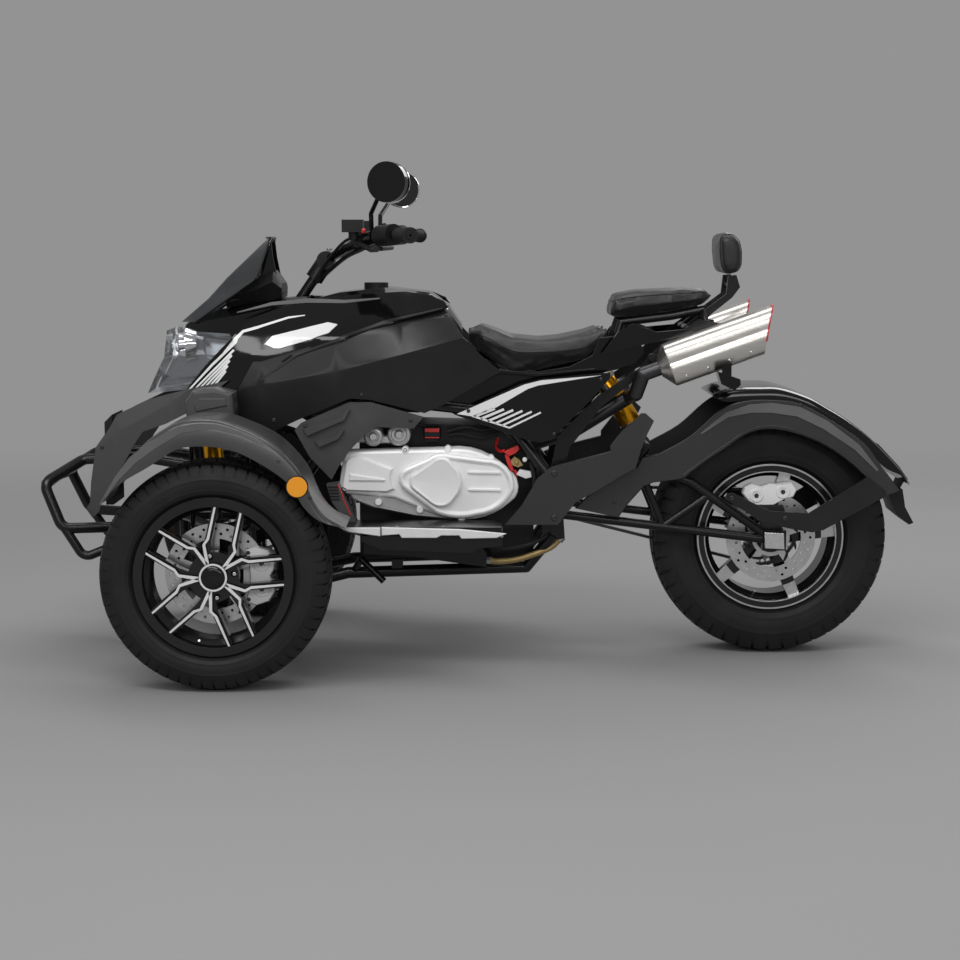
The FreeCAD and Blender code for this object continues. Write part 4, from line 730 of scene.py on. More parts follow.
def tyre_rows(radius, half, bead_half):
    """Half of the tyre's outer section, bead to crown: radius, distance out, groove share, kind of row."""
    rows = [(BEAD + up, bead_half + out, 0, "side") for up, out in ((0, 0), (18, 0), (23, 7))]
    wall = arc((BEAD + 27, half - 7), (BEAD + 52, half), (radius - 26, half - 7), 22)
    for k, (r, y) in enumerate(wall):
        lift = 1 if k in WALL_RINGS else 0
        rows.append((r, y - 1 + lift, 0.35 if k >= 20 else 0.16 if k == 19 else 0, "side"))
    rows += [(radius - 26, half - 7.5, 0.6, "edge"), (radius - 18, half - 11, 1.0, "edge")]
    rows += [(radius - 11 + 6 * t, half - 15 - 18 * t, 1.0, "edge") for t in (0, 0.2, 0.45, 0.7)]
    for r, y in arc((radius - 5, half - 33), (radius, 0), (radius - 5, 33 - half), 24)[:13]:
        share = y / (half - 33)
        rows.append((r, y, 1.0, next(kind for kind, least in CROWN_KINDS if share > least)))
    return rows


def tyre(node, body, x, y, radius, width, rim_width, pitches, depth):
    """Tyre with shoulder blocks, slanted inner blocks, round grooves and raised rings on its walls."""
    half, bead_half = width / 2, rim_width / 2 - BEAD_INSET
    side = tyre_rows(radius, half, bead_half)
    rows = side + [(r, -d, share, kind) for r, d, share, kind in reversed(side[:-1])]
    columns, m = len(TYRE_COLUMNS), len(rows)
    verts, faces = [], []
    for step in range(pitches * columns):
        pitch, column = divmod(step, columns)
        for place, (r, d, share, kind) in enumerate(rows):
            offset = 0.0 if place < len(side) else 0.5
            a = 2 * math.pi * (pitch + TYRE_COLUMNS[column] + TREAD_SLANT * abs(d) / half + offset) / pitches
            if kind == "rib":
                drop = depth
            else:
                drop = depth * share if column in TYRE_GROOVES[kind] else 0.0
            if kind == "side" and share:
                d -= math.copysign(drop * 0.5, d)
                drop *= 0.3
            verts.append((x + (r - drop) * math.cos(a), y + d, radius + (r - drop) * math.sin(a)))
        near, far = step * m, (step + 1) % (pitches * columns) * m
        faces += [(near + j, near + j + 1, far + j + 1, far + j) for j in range(m - 1)]
    inner = [(BEAD, bead_half), (BEAD, bead_half - 12), (228, half - 14), (radius - 20, half - 34)]
    inner = [(r, -d) for r, d in inner] + [(radius - 16, 0)] + inner[::-1]
    shape = Shape().add(verts, faces).lathe(inner, (x, y, radius), Y_AXIS, 96, ends=False)
    shape.piece(node + "_tread", "tyre", body, "tyre_rubber", angle=26.0, replaces=node)


def make_tyres():
    for side, hand in HANDS:
        tyre(side + "_front_tyre", side + "_front_roadwheel", 0, hand * FRONT_WHEEL_Y, FRONT_AXLE_Z, 165, 142,
             58, 5.5)
    tyre("rear_tyre", "rear_roadwheel", REAR_AXLE[0], 0, REAR_AXLE[1], 195, 165, 46, 8)


def make_valve(name, body, centre, radius, *sides):
    ends = [polar(283, radius * share, centre=centre) for share in (1, 0.93)]
    line = [(x, y, z) for (x, z), y in zip(ends, sides)]
    Shape().pipe(line, 3.2).piece(name, "steel", body, "wheel_black")


def make_front_wheels():
    """Bright spoke faces and hub rings, hub caps, nuts and valves."""
    axle, slot = (0, FRONT_AXLE_Z), "wheel_black"
    for side, hand in HANDS:
        body, y, axis = side + "_front_roadwheel", hand * FRONT_WHEEL_Y, (0, hand, 0)
        face = y + hand * SPOKE_FACE
        bright = Shape()
        for k in range(5):
            centre = 103 + 72 * k
            for lean in (-1, 1):
                line = [(centre, 189, lean * 32), (centre, 90, lean * 32), (centre + lean * 8, 79, lean * 28),
                        (centre + lean * 34, 36, 0)]
                bright.strip([polar(*point, axle) for point in line], (4.4, 6.8, 7.2, 8.4), face,
                             face + hand * 0.8)
        ring = [(29.5, 0), (29.5, 1.6), (34.0, 1.6), (34.6, 0)]
        bright.lathe(ring, (0, face, FRONT_AXLE_Z), axis, 64, True)
        bright.piece(side + "_front_wheel_faces", "machined_plate", body, slot)
        cap = Shape().lathe([(0, 6.5), (10, 6.3), (20, 5.2), (26, 3.0), (28.6, 0.4), (28.6, -2)],
                            (0, face, FRONT_AXLE_Z), axis, 48)
        cap.piece(side + "_front_hub_cap", "gloss_black", body, slot)
        nuts = Shape()
        for k in range(4):
            px, pz = polar(81 + 90 * k, 52, centre=axle)
            nuts.lathe([(0, 15), (4.6, 14.2), (6.4, 12), (6.6, 5), (8.3, 4), (8.3, 0)],
                       (px, y + hand * 50, pz), axis, 6)
        nuts.piece(side + "_front_wheel_nuts", "chrome", body, slot, bevel=0.5)
        make_valve(side + "_front_tyre_valve", body, axle, 170, y + hand * 55, y + hand * 74)


def make_rear_wheel():
    """Bright rim lines, slots in the disc, the valve, and the blocks on the ends of the arm."""
    x, z = REAR_AXLE
    body = "rear_roadwheel"
    bright, slots, blocks = Shape(), Shape(), Shape()
    for hand in (LEFT, RIGHT):
        bright.lathe([(190.5, -0.5), (190.5, 1.4), (186.5, 1.4), (186.5, -0.5)], (x, hand * 76, z),
                     (0, hand, 0), 128, True)
        blocks.prism([(-1445, 294), (-1393, 297), (-1391, 340), (-1443, 337)], hand * 168, hand * 177, 1.0)
    bright.piece("rear_wheel_lines", "machined_plate", body, "wheel_black")
    for k in range(10):
        line = [polar(36 * k + 26 * t, 56 + 18 * t, centre=REAR_AXLE) for t in (j / 6 for j in range(7))]
        slots.strip(line, (2.4, 6.0, 7.2, 7.6, 7.2, 6.0, 2.4), 92.4, 93.0)
    slots.piece("rear_disc_slots", "satin_black", body, "cast_steel")
    make_valve("rear_tyre_valve", body, REAR_AXLE, 165, 40, 62)
    blocks.piece("axle_blocks", "machined", slot="steel", bevel=0.8)


# ------------------------------------------------------------------ cushions
SADDLE = [
    # x, then (y, z) up the left side
    (-612, (88, 843), (106, 858), (88, 870), (50, 873)),
    (-655, (124, 806), (147, 850), (124, 870), (70, 875)),
    (-735, (136, 752), (160, 812), (136, 839), (80, 845)),
    (-805, (144, 764), (164, 809), (140, 832), (84, 838)),
    (-860, (142, 776), (160, 812), (138, 837), (84, 843)),
    (-925, (132, 792), (148, 823), (128, 852), (78, 858)),
    (-985, (102, 849), (116, 862), (100, 875), (60, 879)),
]
PILLION = [
    (-984, (78, 893), (93, 903), (88, 916), (60, 922)),
    (-1000, (88, 896), (113, 912), (104, 940), (70, 954)),
    (-1065, (93, 904), (123, 926), (114, 952), (78, 965)),
    (-1150, (93, 914), (120, 934), (110, 958), (76, 969)),
    (-1235, (83, 932), (108, 947), (98, 962), (66, 970)),
    (-1264, (68, 946), (88, 951), (82, 958), (55, 962)),
]
BACKREST = [(-1272, 1108), (-1284, 1119), (-1308, 1118), (-1327, 1101), (-1334, 1070), (-1334, 1030),
            (-1324, 1011), (-1288, 1007), (-1278, 1026), (-1273, 1070)]
BACKREST_MIDDLE = (-1303, 1064)
BACKREST_SHARES = [(-106, 0.62), (-98, 0.86), (-80, 0.94), (0, 0.95), (80, 0.94), (98, 0.86), (106, 0.62)]
CLOTH_FRAMES, CLOTH_PRESSURE, CLOTH_STIFFNESS = 20, 4.0, 30


def cushion_rings(rows, inset):
    """A cushion's rings from its rows, smaller all round by an inset that the cloth fills again."""
    rings = []
    for k, (x, *side) in enumerate(rows):
        x += {0: -inset, len(rows) - 1: inset}.get(k, 0)
        low, high = side[0][1], side[-1][1]
        ring = [(x, y - inset, z + (inset if z == low else -inset if z == high else 0)) for y, z in side]
        rings.append(ring + [(px, -py, pz) for px, py, pz in reversed(ring)])
    return rings


def bake(piece):
    """Applies a piece's modifiers to its mesh."""
    graph = bpy.context.evaluated_depsgraph_get()
    mesh = bpy.data.meshes.new_from_object(piece.evaluated_get(graph), depsgraph=graph)
    piece.modifiers.clear()
    mesh.materials.clear()
    mesh.materials.append(MATERIALS["vinyl"])
    piece.data = mesh


def cushion(name, node, rings, cap, voxel):
    """Padded piece: remeshed, swollen by cloth simulation no further than the cap, then smoothed."""
    piece = Shape().loft(rings, -1).piece(name, "vinyl", slot="seat_vinyl", angle=180.0)
    remesh = piece.modifiers.new("remesh", "REMESH")
    remesh.mode = "VOXEL"
    remesh.voxel_size = voxel
    settle = piece.modifiers.new("settle", "SMOOTH")
    settle.iterations = 6
    settle.factor = 0.5
    bake(piece)
    start = [v.co.copy() for v in piece.data.vertices]
    cloth = piece.modifiers.new("cloth", "CLOTH")
    cloth.settings.use_pressure = True
    cloth.settings.uniform_pressure_force = CLOTH_PRESSURE
    cloth.settings.effector_weights.gravity = 0.0
    cloth.settings.quality = 5
    cloth.settings.tension_stiffness = cloth.settings.compression_stiffness = CLOTH_STIFFNESS
    for number in range(1, CLOTH_FRAMES + 1):
        bpy.context.scene.frame_set(number)
    graph = bpy.context.evaluated_depsgraph_get()
    moved = [v.co.copy() for v in piece.evaluated_get(graph).data.vertices]
    piece.modifiers.remove(cloth)
    for vertex, before, after in zip(piece.data.vertices, start, moved):
        step = after - before
        vertex.co = before + (step * (cap / step.length) if step.length > cap else step)
    bpy.context.scene.frame_set(1)
    divide = piece.modifiers.new("divide", "SUBSURF")
    divide.levels = divide.render_levels = 1
    bake(piece)
    piece.data.shade_smooth()
    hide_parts(node)
    return piece


def make_cushions():
    """The three cushions, with piping along their seams."""
    saddle = cushion("saddle_cushion", "saddle", cushion_rings(SADDLE, 5), 0.007, 0.0055)
    pillion = cushion("pillion_cushion", "pillion_seat", cushion_rings(PILLION, 4), 0.006, 0.005)
    cx, cz = BACKREST_MIDDLE
    rings = [[(cx + (px - cx) * share, y, cz + (pz - cz) * share) for px, pz in BACKREST]
             for y, share in BACKREST_SHARES]
    back = cushion("backrest_cushion", "backrest_pad", rings, 0.005, 0.005)
    seams = Shape()
    for piece, rows, row in ((saddle, SADDLE, 1), (pillion, PILLION, 2)):
        tree = tree_of(piece)
        points = [(x, 0, side[row][1]) for x, *side in rows]
        points[-1] = (rows[-1][0] + 8, *points[-1][1:])
        line = smooth_line(points, 6)[2:-1]
        for hand in (LEFT, RIGHT):
            hits = [(p, tree.ray_cast(at(p.x, hand * 400, p.z), Vector((0, -hand, 0)))[0]) for p in line]
            seams.pipe([(p.x, place.y * 1000 - hand * 0.4, p.z) for p, place in hits if place], 1.7, 8)
    tree = tree_of(back)
    for y in (-88, 88):
        loop = []
        for k in range(48):
            out_x, out_z = math.cos(2 * math.pi * k / 48), math.sin(2 * math.pi * k / 48)
            place = tree.ray_cast(at(cx + 200 * out_x, y, cz + 200 * out_z), Vector((-out_x, 0, -out_z)))[0]
            if place:
                loop.append((place.x * 1000 - FRONT_AXLE_X, y, place.z * 1000))
        seams.pipe(loop + [loop[0]], 1.6, 8)
    seams.piece("seat_piping", "grip", slot="seat_vinyl")


# ------------------------------------------------------------------ bodywork
FAIRING_ROWS = [
    (230, (168, 600), (166, 680), (158, 760)),
    (120, (188, 600), (186, 690), (176, 760), (160, 830)),
    (30, (214, 600), (226, 700), (212, 770), (188, 850), (150, 905)),
    (-90, (236, 600), (250, 730), (236, 800), (196, 870), (150, 925)),
    (-280, (236, 600), (254, 765), (240, 848), (190, 905), (140, 960)),
    (-445, (226, 600), (252, 808), (228, 888), (172, 945), (140, 975)),
    (-600, (192, 620), (232, 850), (194, 905), (150, 960)),
]
FAIRING = [(-12, 848), (55, 778), (114, 708), (40, 640), (24, 622), (-20, 700), (-180, 800),
           (-400, 880), (-548, 916), (-566, 925), (-555, 938), (-520, 953), (-455, 962),
           (-345, 956), (-235, 944), (-140, 924), (-70, 898), (-38, 878)]
FAIRING_LIP = 6.0       # how far the fairing stands off the side panels
LAMP_ROWS = [
    (-30, (150, 690), (176, 740), (178, 800), (150, 870)),
    (60, (140, 690), (158, 740), (160, 800), (128, 880)),
    (150, (118, 690), (134, 740), (134, 800), (96, 885)),
    (240, (84, 690), (96, 740), (92, 800), (60, 885)),
]
LAMP_OUTLINE = [(172, 862), (140, 874), (85, 861), (2, 856), (-8, 843), (52, 776), (106, 712), (226, 698),
                (176, 795)]
LAMP_AIM = (1, 0, -0.05)
STRIPES = [
    # points along the stripe, its width at each
    ([(-198, 902), (-155, 896), (-78, 872), (-40, 862), (-24, 846)], (2, 5, 6, 7, 9)),
    ([(-24, 848), (-22, 836), (40, 776), (100, 714)], (9, 7, 6, 4)),
    ([(94, 716), (60, 716), (20, 718)], (5, 4, 3)),
]
BADGE = [(-97, 830), (-122, 820), (-137, 820), (-262, 858), (-284, 879), (-259, 884), (-116, 850)]
WEDGE = [(-588, 652), (-762, 728), (-806, 739), (-962, 752), (-940, 748), (-799, 726), (-770, 716),
         (-690, 669), (-632, 645)]
SEAT_FILL = [(-540, 668), (-582, 644), (-750, 718), (-805, 736), (-960, 752), (-1004, 762), (-1050, 776),
             (-1078, 806), (-1062, 842), (-1000, 850), (-960, 846), (-940, 800), (-880, 770), (-800, 758),
             (-700, 775), (-640, 800), (-600, 838), (-560, 760)]
TOWER_COVER = [(-26, 716), (20, 728), (76, 722), (96, 694), (92, 640), (78, 618), (-14, 618), (-30, 660)]


def make_fairing():
    """Gloss skin over the top of each side panel, from lamp to saddle, with a band over its crease."""
    rows = Rows(FAIRING_ROWS)
    sticker("upper_fairing", [FAIRING], rows, "gloss_black", cell=14.0, proud=(FAIRING_LIP - 5, FAIRING_LIP))
    crease = ribbon([(-30, 700), (-180, 806), (-400, 885), (-550, 919)], (3, 7, 7, 3))
    sticker("fairing_edge", [crease], rows, "satin_black", cell=14.0,
            proud=(FAIRING_LIP - 1, FAIRING_LIP + 2.2))


def make_stickers():
    """White stripes, hatching and bare badges on the side panels, and stripes on the rear covers."""
    low, high = FAIRING_LIP - 0.6, FAIRING_LIP + 0.6
    side, rear = Rows(FAIRING_ROWS), Skin("rear_side_covers")
    hatch = [ribbon([(-18 + 20 * t, 816 - 38 * t - 14 * t), (84 - 42 * t, 716 - 2 * t)], (5.5, 4.0))
             for t in (k / 4 for k in range(5))]
    sticker("side_stripes", [ribbon(*stripe) for stripe in STRIPES] + hatch, side, "white", proud=(low, high))
    sticker("side_badges", [BADGE], side, "white", proud=(low, high + 1.6))
    bars = [ribbon([(-632 - 18.1 * k, 645 - 5.9 * k), (-686 - 23.9 * k, 666 - 2.0 * k)], [7.0 - 0.5 * k] * 2)
            for k in range(6)]
    foot = ribbon([(-628, 647), (-724, 616)], (5.5, 4.0))
    sticker("rear_cover_stripes", [WEDGE] + bars + [foot], rear, "white")


def make_headlight():
    """Clear covers, with reflectors, projectors and light guides in a dark bowl behind them."""
    rows = Rows(LAMP_ROWS)
    for side, hand in HANDS:
        sticker(side + "_lamp_cover", [LAMP_OUTLINE], rows, "lens", (hand,), 14.0, (-46, 1.5),
                replaces="headlight")
        sticker(side + "_lamp_bowl", [drawn_in(LAMP_OUTLINE, 3)], rows, "lamp_bowl", (hand,), 16.0,
                (-56, -50))
    for side, hand in HANDS:
        y = hand * 88
        barrel = Shape()
        barrel.lathe([(27, -34), (30, -30), (30, -4), (27, 0), (24, 0), (22, -6), (22, -34)],
                     (142, y, 822), LAMP_AIM, 48, True)
        barrel.lathe([(40, -46), (47, -20), (47, -17), (38, -40)], (138, y - hand * 2, 822), LAMP_AIM, 48,
                     True)
        barrel.prism([(70, 800), (128, 796), (140, 806), (128, 812), (76, 812)], hand * 112, hand * 118)
        barrel.prism([(74, 838), (122, 846), (118, 852), (72, 846)], hand * 106, hand * 112)
        barrel.piece(side + "_lamp_reflector", "chrome", slot="lamp_lens")
        glass = Shape().lathe([(0, 14), (8, 13), (15, 10), (20, 5), (22.5, -3)], (138, y, 822), LAMP_AIM)
        glass.piece(side + "_lamp_projector", "lens", slot="lamp_lens")
        guide = [(150, hand * 60, 846), (140, hand * 92, 850), (100, hand * 112, 848), (74, hand * 122, 842)]
        Shape().pipe(guide, 3.2, 10, 4).piece(side + "_lamp_guide", "white", slot="lamp_lens")


def make_screen_trim():
    """Dark rim round the screen, a brace behind it and the fin before the bars."""
    edge = [(100, 78, 883.2), (10, 112, 945), (-26, 109, 972), (-62, 104, 1000), (-82, 84, 1052),
            (-97, 60, 1104)]
    top = [(-97, 60, 1104), (-92, 40, 1104), (-86, 20, 1104), (-82, 0, 1104)]
    rim = Shape().pipe(edge, 3.0, 10, 4).pipe(top, 3.0, 10, 3).both()
    rim.piece("screen_rim", "satin_black", slot="clear_screen")
    brace = Shape().prism([(-70, 1012), (-86, 1090), (-99, 1098), (-104, 1052), (-120, 972), (-132, 958),
                           (-96, 948), (-58, 946)], 52, 57, 2)
    brace.prism([(20, 962), (-52, 1002), (-64, 1000), (-54, 950), (12, 934)], 70, 76, 2).both()
    brace.piece("screen_brace", "gloss_black", bevel=1.0)


def make_seat_fill():
    """Body panels under the saddle, between the side panels and the rear covers."""
    ridge = ribbon([(-560, 690), (-700, 758), (-800, 748), (-950, 764)], (6, 12, 10, 4))
    panels = Shape().prism(SEAT_FILL, 124, 128).prism(ridge, 126, 133, 1.0).both()
    panels.piece("seat_side_panels", "gloss_black", slot="body_paint", bevel=1.5)


def make_highlight_bands():
    """Raised bands along the rear shrouds' arches, over the front fenders and along the fairing, their
    lighter grey a painted highlight.
    """
    # The bands' lighter grey paints the highlights along the shrouds' upper arch, the fenders' crest and the
    # fairing's shelf.
    arch = ribbon([(-1222, 598), (-1290, 648), (-1350, 664), (-1405, 666), (-1475, 656), (-1545, 622),
                   (-1628, 564), (-1684, 502)], (4, 14, 22, 26, 26, 24, 18, 6))
    sticker("shroud_highlight_bands", [arch], Skin("rear_shrouds"), "band_grey", cell=18.0, proud=(0.2, 3.0))
    crest = ribbon([(250, 486), (222, 531), (182, 577), (136, 612), (68, 650), (-12, 658), (-78, 640),
                    (-132, 612)], (4, 12, 20, 22, 18, 12, 8, 3))
    for side, hand in HANDS:
        sticker(side + "_fender_highlight_band", [crest], Skin(side + "_front_fender"), "band_grey", (hand,), 18.0,
                (-1.3, -0.1), side + "_front_hub")
    shelf = ribbon([(-20, 908), (-110, 930), (-200, 938), (-300, 936), (-390, 944)], (2, 8, 11, 8, 3))
    sticker("shelf_highlight_bands", [shelf], Rows(FAIRING_ROWS), "band_grey", cell=14.0,
            proud=(FAIRING_LIP - 1, FAIRING_LIP + 1.6))


def make_tower_covers():
    """Covers over the shock towers, which carry the nose panels' surface outwards."""
    covers = Shape().stepped(TOWER_COVER, (0, 238), (0, 318), (3, 328), (9, 333))
    covers.stepped([(-8, 704), (60, 704), (74, 688), (66, 668), (-14, 684)], (0, 326), (1, 335), (3, 336.5))
    covers.both().piece("tower_covers", "carbon_grey", slot="carbon_grey", angle=26.0)
    Shape().bolt(2, 331, 642, 5.5, LEFT, 4).both().piece("tower_cover_bolts", "steel", slot="steel")


# ------------------------------------------------------------------ fenders and shrouds
FENDER_TOP = [(268, 470), (235, 525), (195, 572), (145, 625), (70, 668), (-15, 674), (-85, 652),
              (-145, 622), (-190, 582), (-222, 540), (-243, 490), (-262, 455), (-287, 430), (-325, 412)]
FENDER_LOW = [(262, 468), (215, 518), (145, 560), (85, 598), (50, 608), (-10, 608), (-70, 594),
              (-130, 563), (-180, 528), (-205, 498), (-225, 463), (-262, 430), (-325, 410)]
# y and depth below the crest, round a front fender's section, and round the rear crown's
FENDER_SECTION = [(404.8, 0), (572, 0), (590, 1.5), (599.5, 6), (603.4, 14), (603.4, 999), (599.8, 999),
                  (599.8, 16), (596, 10), (588, 6.5), (572, 5), (404.8, 5)]
CROWN_TOP = [(-1255, 696), (-1270, 704), (-1305, 714), (-1380, 716), (-1435, 714), (-1505, 692),
             (-1555, 665), (-1605, 635), (-1655, 597), (-1695, 560), (-1752, 500), (-1774, 466)]
CROWN_LOW = [(-1258, 691), (-1290, 680), (-1350, 685), (-1405, 686), (-1475, 678), (-1550, 640),
             (-1645, 576), (-1700, 512), (-1750, 486), (-1771, 462)]
CROWN_SECTION = [(159.5, 999), (159.5, 12), (156, 5), (147, 1.2), (120, 0), (-120, 0), (-147, 1.2), (-156, 5),
                 (-159.5, 12), (-159.5, 999), (-154.5, 999), (-154.5, 14), (-145, 6.5), (-120, 5), (120, 5),
                 (145, 6.5), (154.5, 14), (154.5, 999)]
FENDER_RINGS = 72
SHROUD_FRONT = [(-896, 402), (-1010, 378), (-1036, 415), (-1076, 460)]
SHROUD_ARCH = [(-1100, 470), (-1175, 480), (-1200, 498), (-1236, 525), (-1300, 570), (-1335, 594),
               (-1378, 609), (-1425, 609), (-1480, 596), (-1550, 565), (-1615, 520), (-1665, 474),
               (-1710, 436)]
SHROUD_CREST = [(-1744, 450), (-1695, 512), (-1645, 576), (-1550, 640), (-1475, 678), (-1405, 686),
                (-1350, 685), (-1300, 674), (-1260, 648), (-1195, 590), (-1115, 545)]
SHROUD_BACK = [(-1070, 535), (-1056, 508), (-1020, 500), (-955, 460)]


def smooth(points):
    """A smooth (x, z) line through points."""
    return [(p.x, p.z) for p in smooth_line([(x, 0, z) for x, z in points], 8)]


def thinned(line):
    """Every second point of a line, and its last."""
    return line[::2] + line[-1:] * (len(line) % 2 == 0)


def spaced(line, count):
    """As many points evenly spaced along a line."""
    runs = [math.dist(a, b) for a, b in zip(line, line[1:])]
    points, k, gone = [], 0, 0.0
    for n in range(count):
        goal = sum(runs) * n / (count - 1)
        while k < len(runs) - 1 and gone + runs[k] < goal:
            gone += runs[k]
            k += 1
        share = min((goal - gone) / runs[k], 1.0)
        points.append(tuple(a + (b - a) * share for a, b in zip(line[k], line[k + 1])))
    return points


def arched(top, low, section, hand=LEFT):
    """A fender: its section, in (y, depth from top to low), carried along the two edges."""
    rings = []
    for a, b in zip(spaced(smooth(top), FENDER_RINGS), spaced(smooth(low), FENDER_RINGS)):
        shares = [min(depth / math.dist(a, b), 1.0) for y, depth in section]
        rings.append([(a[0] + (b[0] - a[0]) * share, hand * y, a[1] + (b[1] - a[1]) * share)
                      for (y, depth), share in zip(section, shares)])
    return Shape().loft(rings)


def make_fenders():
    """Smooth arches in the place of the faceted ones: front fenders, rear crown and rear shrouds."""
    for side, hand in HANDS:
        arched(FENDER_TOP, FENDER_LOW, FENDER_SECTION, hand).piece(
            side + "_front_fender_arch", "smoke_grey", side + "_front_hub", "satin_paint", angle=40.0,
            replaces=side + "_front_fender")
    arched(CROWN_TOP, CROWN_LOW, CROWN_SECTION).piece(
        "rear_crown", "gloss_black", slot="body_paint", angle=40.0, replaces="rear_fender")
    outline = SHROUD_FRONT + thinned(smooth(SHROUD_ARCH)) + thinned(smooth(SHROUD_CREST)) + SHROUD_BACK
    plates = Shape().stepped(outline, (0, 160), (0, 169), (2, 172)).both()
    plates.piece("rear_shroud_plates", "carbon_dark", slot="carbon_grey", angle=30.0, replaces="rear_shrouds")
    edge = [(x, z + 7) for x, z in thinned(smooth(SHROUD_ARCH[1:-1]))]
    lips = Shape().prism(ribbon(edge, [7] * len(edge)), 170, 174.5).both()
    lips.piece("rear_shroud_lips", "carbon_dark", slot="carbon_grey", bevel=1.2)


# ------------------------------------------------------------------ engine, shocks and brakes
CVT_EDGE = [(-281, 458), (-294, 538), (-299, 553, -314, 556), (-565, 562), (-662, 548, -722, 502),
            (-748, 463, -727, 424), (-668, 388, -585, 379), (-540, 387), (-425, 434), (-300, 446)]
CVT_BULGE = [(-289, 463), (-300, 530), (-318, 545, -345, 541), (-424, 512), (-418, 484, -428, 458),
             (-408, 449), (-304, 453)]
CVT_RIM = [(-446, 508), (-438, 484, -452, 459), (-535, 396), (-570, 386, -640, 390), (-703, 415, -737, 461),
           (-727, 504, -660, 539), (-555, 553), (-533, 551, -515, 541), (-460, 517)]
CVT_MIDDLE = [(-466, 481), (-468, 493, -477, 502), (-522, 533), (-551, 545, -579, 526),
              (-602, 480, -584, 436), (-552, 413, -520, 422), (-475, 458), (-468, 467, -466, 475)]
CVT_BACK, CVT_FACE = 142, 212
CVT_BOLTS = [(-455, 560), (-565, 562), (-676, 538), (-385, 424), (-492, 404), (-600, 377), (-300, 462)]
BOARD_STRIPS = [
    [(-298, 388), (-400, 388), (-400, 366), (-322, 377)],
    [(-403, 389), (-600, 384), (-714, 373), (-690, 362), (-602, 360), (-596, 368), (-551, 368), (-540, 362),
     (-453, 362), (-447, 371), (-403, 368)],
]
BOARD_SKIRT = [(-352, 378), (-352, 352), (-403, 330), (-632, 322), (-642, 334), (-705, 340), (-705, 372),
               (-600, 376)]
SHOCKS = [
    # name, top, low, sleeve from, sleeve to, sleeve radius
    ("left_front", (34, 306, 655), (0, 335, 222), 34, 215, 25),
    ("right_front", (34, -306, 655), (0, -335, 222), 34, 215, 25),
    ("rear", (-962, 0, 757), (-1085, 0, 560), 26, 188, 29),
]
FRONT_CALIPER = [(-72, 344), (-98, 354), (-130, 343), (-147, 316), (-143, 296), (-134, 280), (-143, 264),
                 (-147, 244), (-130, 217), (-98, 206), (-72, 216), (-80, 248), (-84, 280), (-80, 312)]
REAR_CALIPER = [(-1342, 432), (-1346, 450), (-1366, 460), (-1392, 452), (-1412, 460), (-1440, 458),
                (-1472, 462), (-1486, 444), (-1476, 424), (-1450, 416), (-1424, 402), (-1398, 396),
                (-1366, 404)]
REAR_CALIPER_BRACKET = [(-1376, 404), (-1448, 404), (-1456, 380), (-1442, 318), (-1398, 318), (-1384, 376)]


def make_transmission():
    """Cast cover: rounded base, bulge over the front pulley, raised rim round the rear one, dished middle."""
    face, cover = CVT_FACE, Shape()
    cover.stepped(CVT_EDGE, (0, CVT_BACK), (0, face - 8), (2, face - 3), (7, face))
    cover.stepped(CVT_BULGE, (0, face - 4), (1, face + 4), (5, face + 9))
    cover.stepped(CVT_RIM, (0, face - 4), (0, face + 12), (2, face + 17), (7, face + 20), (10, face + 20),
                  (14, face + 17), (17, face + 13))
    cover.stepped(CVT_MIDDLE, (0, face + 8), (1, face + 22), (5, face + 27), (7, face + 27.5),
                  (13, face + 26))
    for z in (500, 455):
        cover.stepped([(-702, z + 1), (-700, z + 6), (-620, z + 7), (-616, z + 3), (-620, z), (-700, z - 1)],
                      (0, face + 8), (0, face + 17), (1.5, face + 19))
    cover.stepped([(-309, 481), (-312, 499), (-400, 486), (-404, 483), (-400, 480)],
                  (0, face + 4), (0.5, face + 12), (2, face + 14))
    for x, z in CVT_BOLTS:
        cover.lathe([(9, -30), (9, 1), (7.5, 3), (0, 3)], (x, face, z), steps=24)
    cover.piece("transmission_cover", "cast_bright", slot="engine_alloy", angle=24.0, replaces="cvt_cover")
    case = Shape().stepped([(-303, 452), (-318, 428), (-372, 406), (-480, 384), (-590, 374), (-585, 386),
                            (-540, 395), (-425, 442)], (0, CVT_BACK), (0, 190), (4, 196))
    case.piece("transmission_case", "cast", slot="engine_alloy", angle=24.0)


def make_castings():
    """Starter motor, pump and the curved flange ahead of the transmission cover."""
    parts = Shape()
    for x, z, radius, y in ((-372, 594, 25, 206), (-438, 598, 30, 192)):
        parts.lathe([(radius, 104 - y), (radius, -5), (radius - 2, -1.5), (radius - 5, 0), (radius - 9, 0),
                     (radius - 11, -3), (12, -3), (11, 5), (8, 7), (0, 7)], (x, y, z))
    parts.stepped([(-438, 574), (-438, 594), (-374, 594), (-374, 574)], (0, 104), (0, 176), (3, 180))
    parts.stepped([(-292, 560), (-302, 600, -345, 622), (-345, 606), (-318, 590, -308, 560)],
                  (0, 150), (0, 186), (2, 190))
    parts.stepped([(-372, 574), (-372, 598), (-320, 598), (-320, 574)], (0, 104), (0, 160), (3, 165))
    parts.piece("engine_castings", "cast", slot="engine_alloy", angle=28.0)


def make_board_edges():
    """Bright edge strips, and the black skirt under them, on the outside of the footboards."""
    strips = Shape()
    for outline in BOARD_STRIPS:
        strips.stepped(outline, (0, 420.5), (0, 425), (1.6, 427))
    strips.both().piece("footboard_edges", "machined_plate", slot="engine_alloy", angle=28.0)
    skirts = Shape().stepped(BOARD_SKIRT, (0, 414), (0, 419), (1, 420)).both()
    skirts.piece("footboard_skirts", "satin_black", slot="frame_black", angle=28.0)


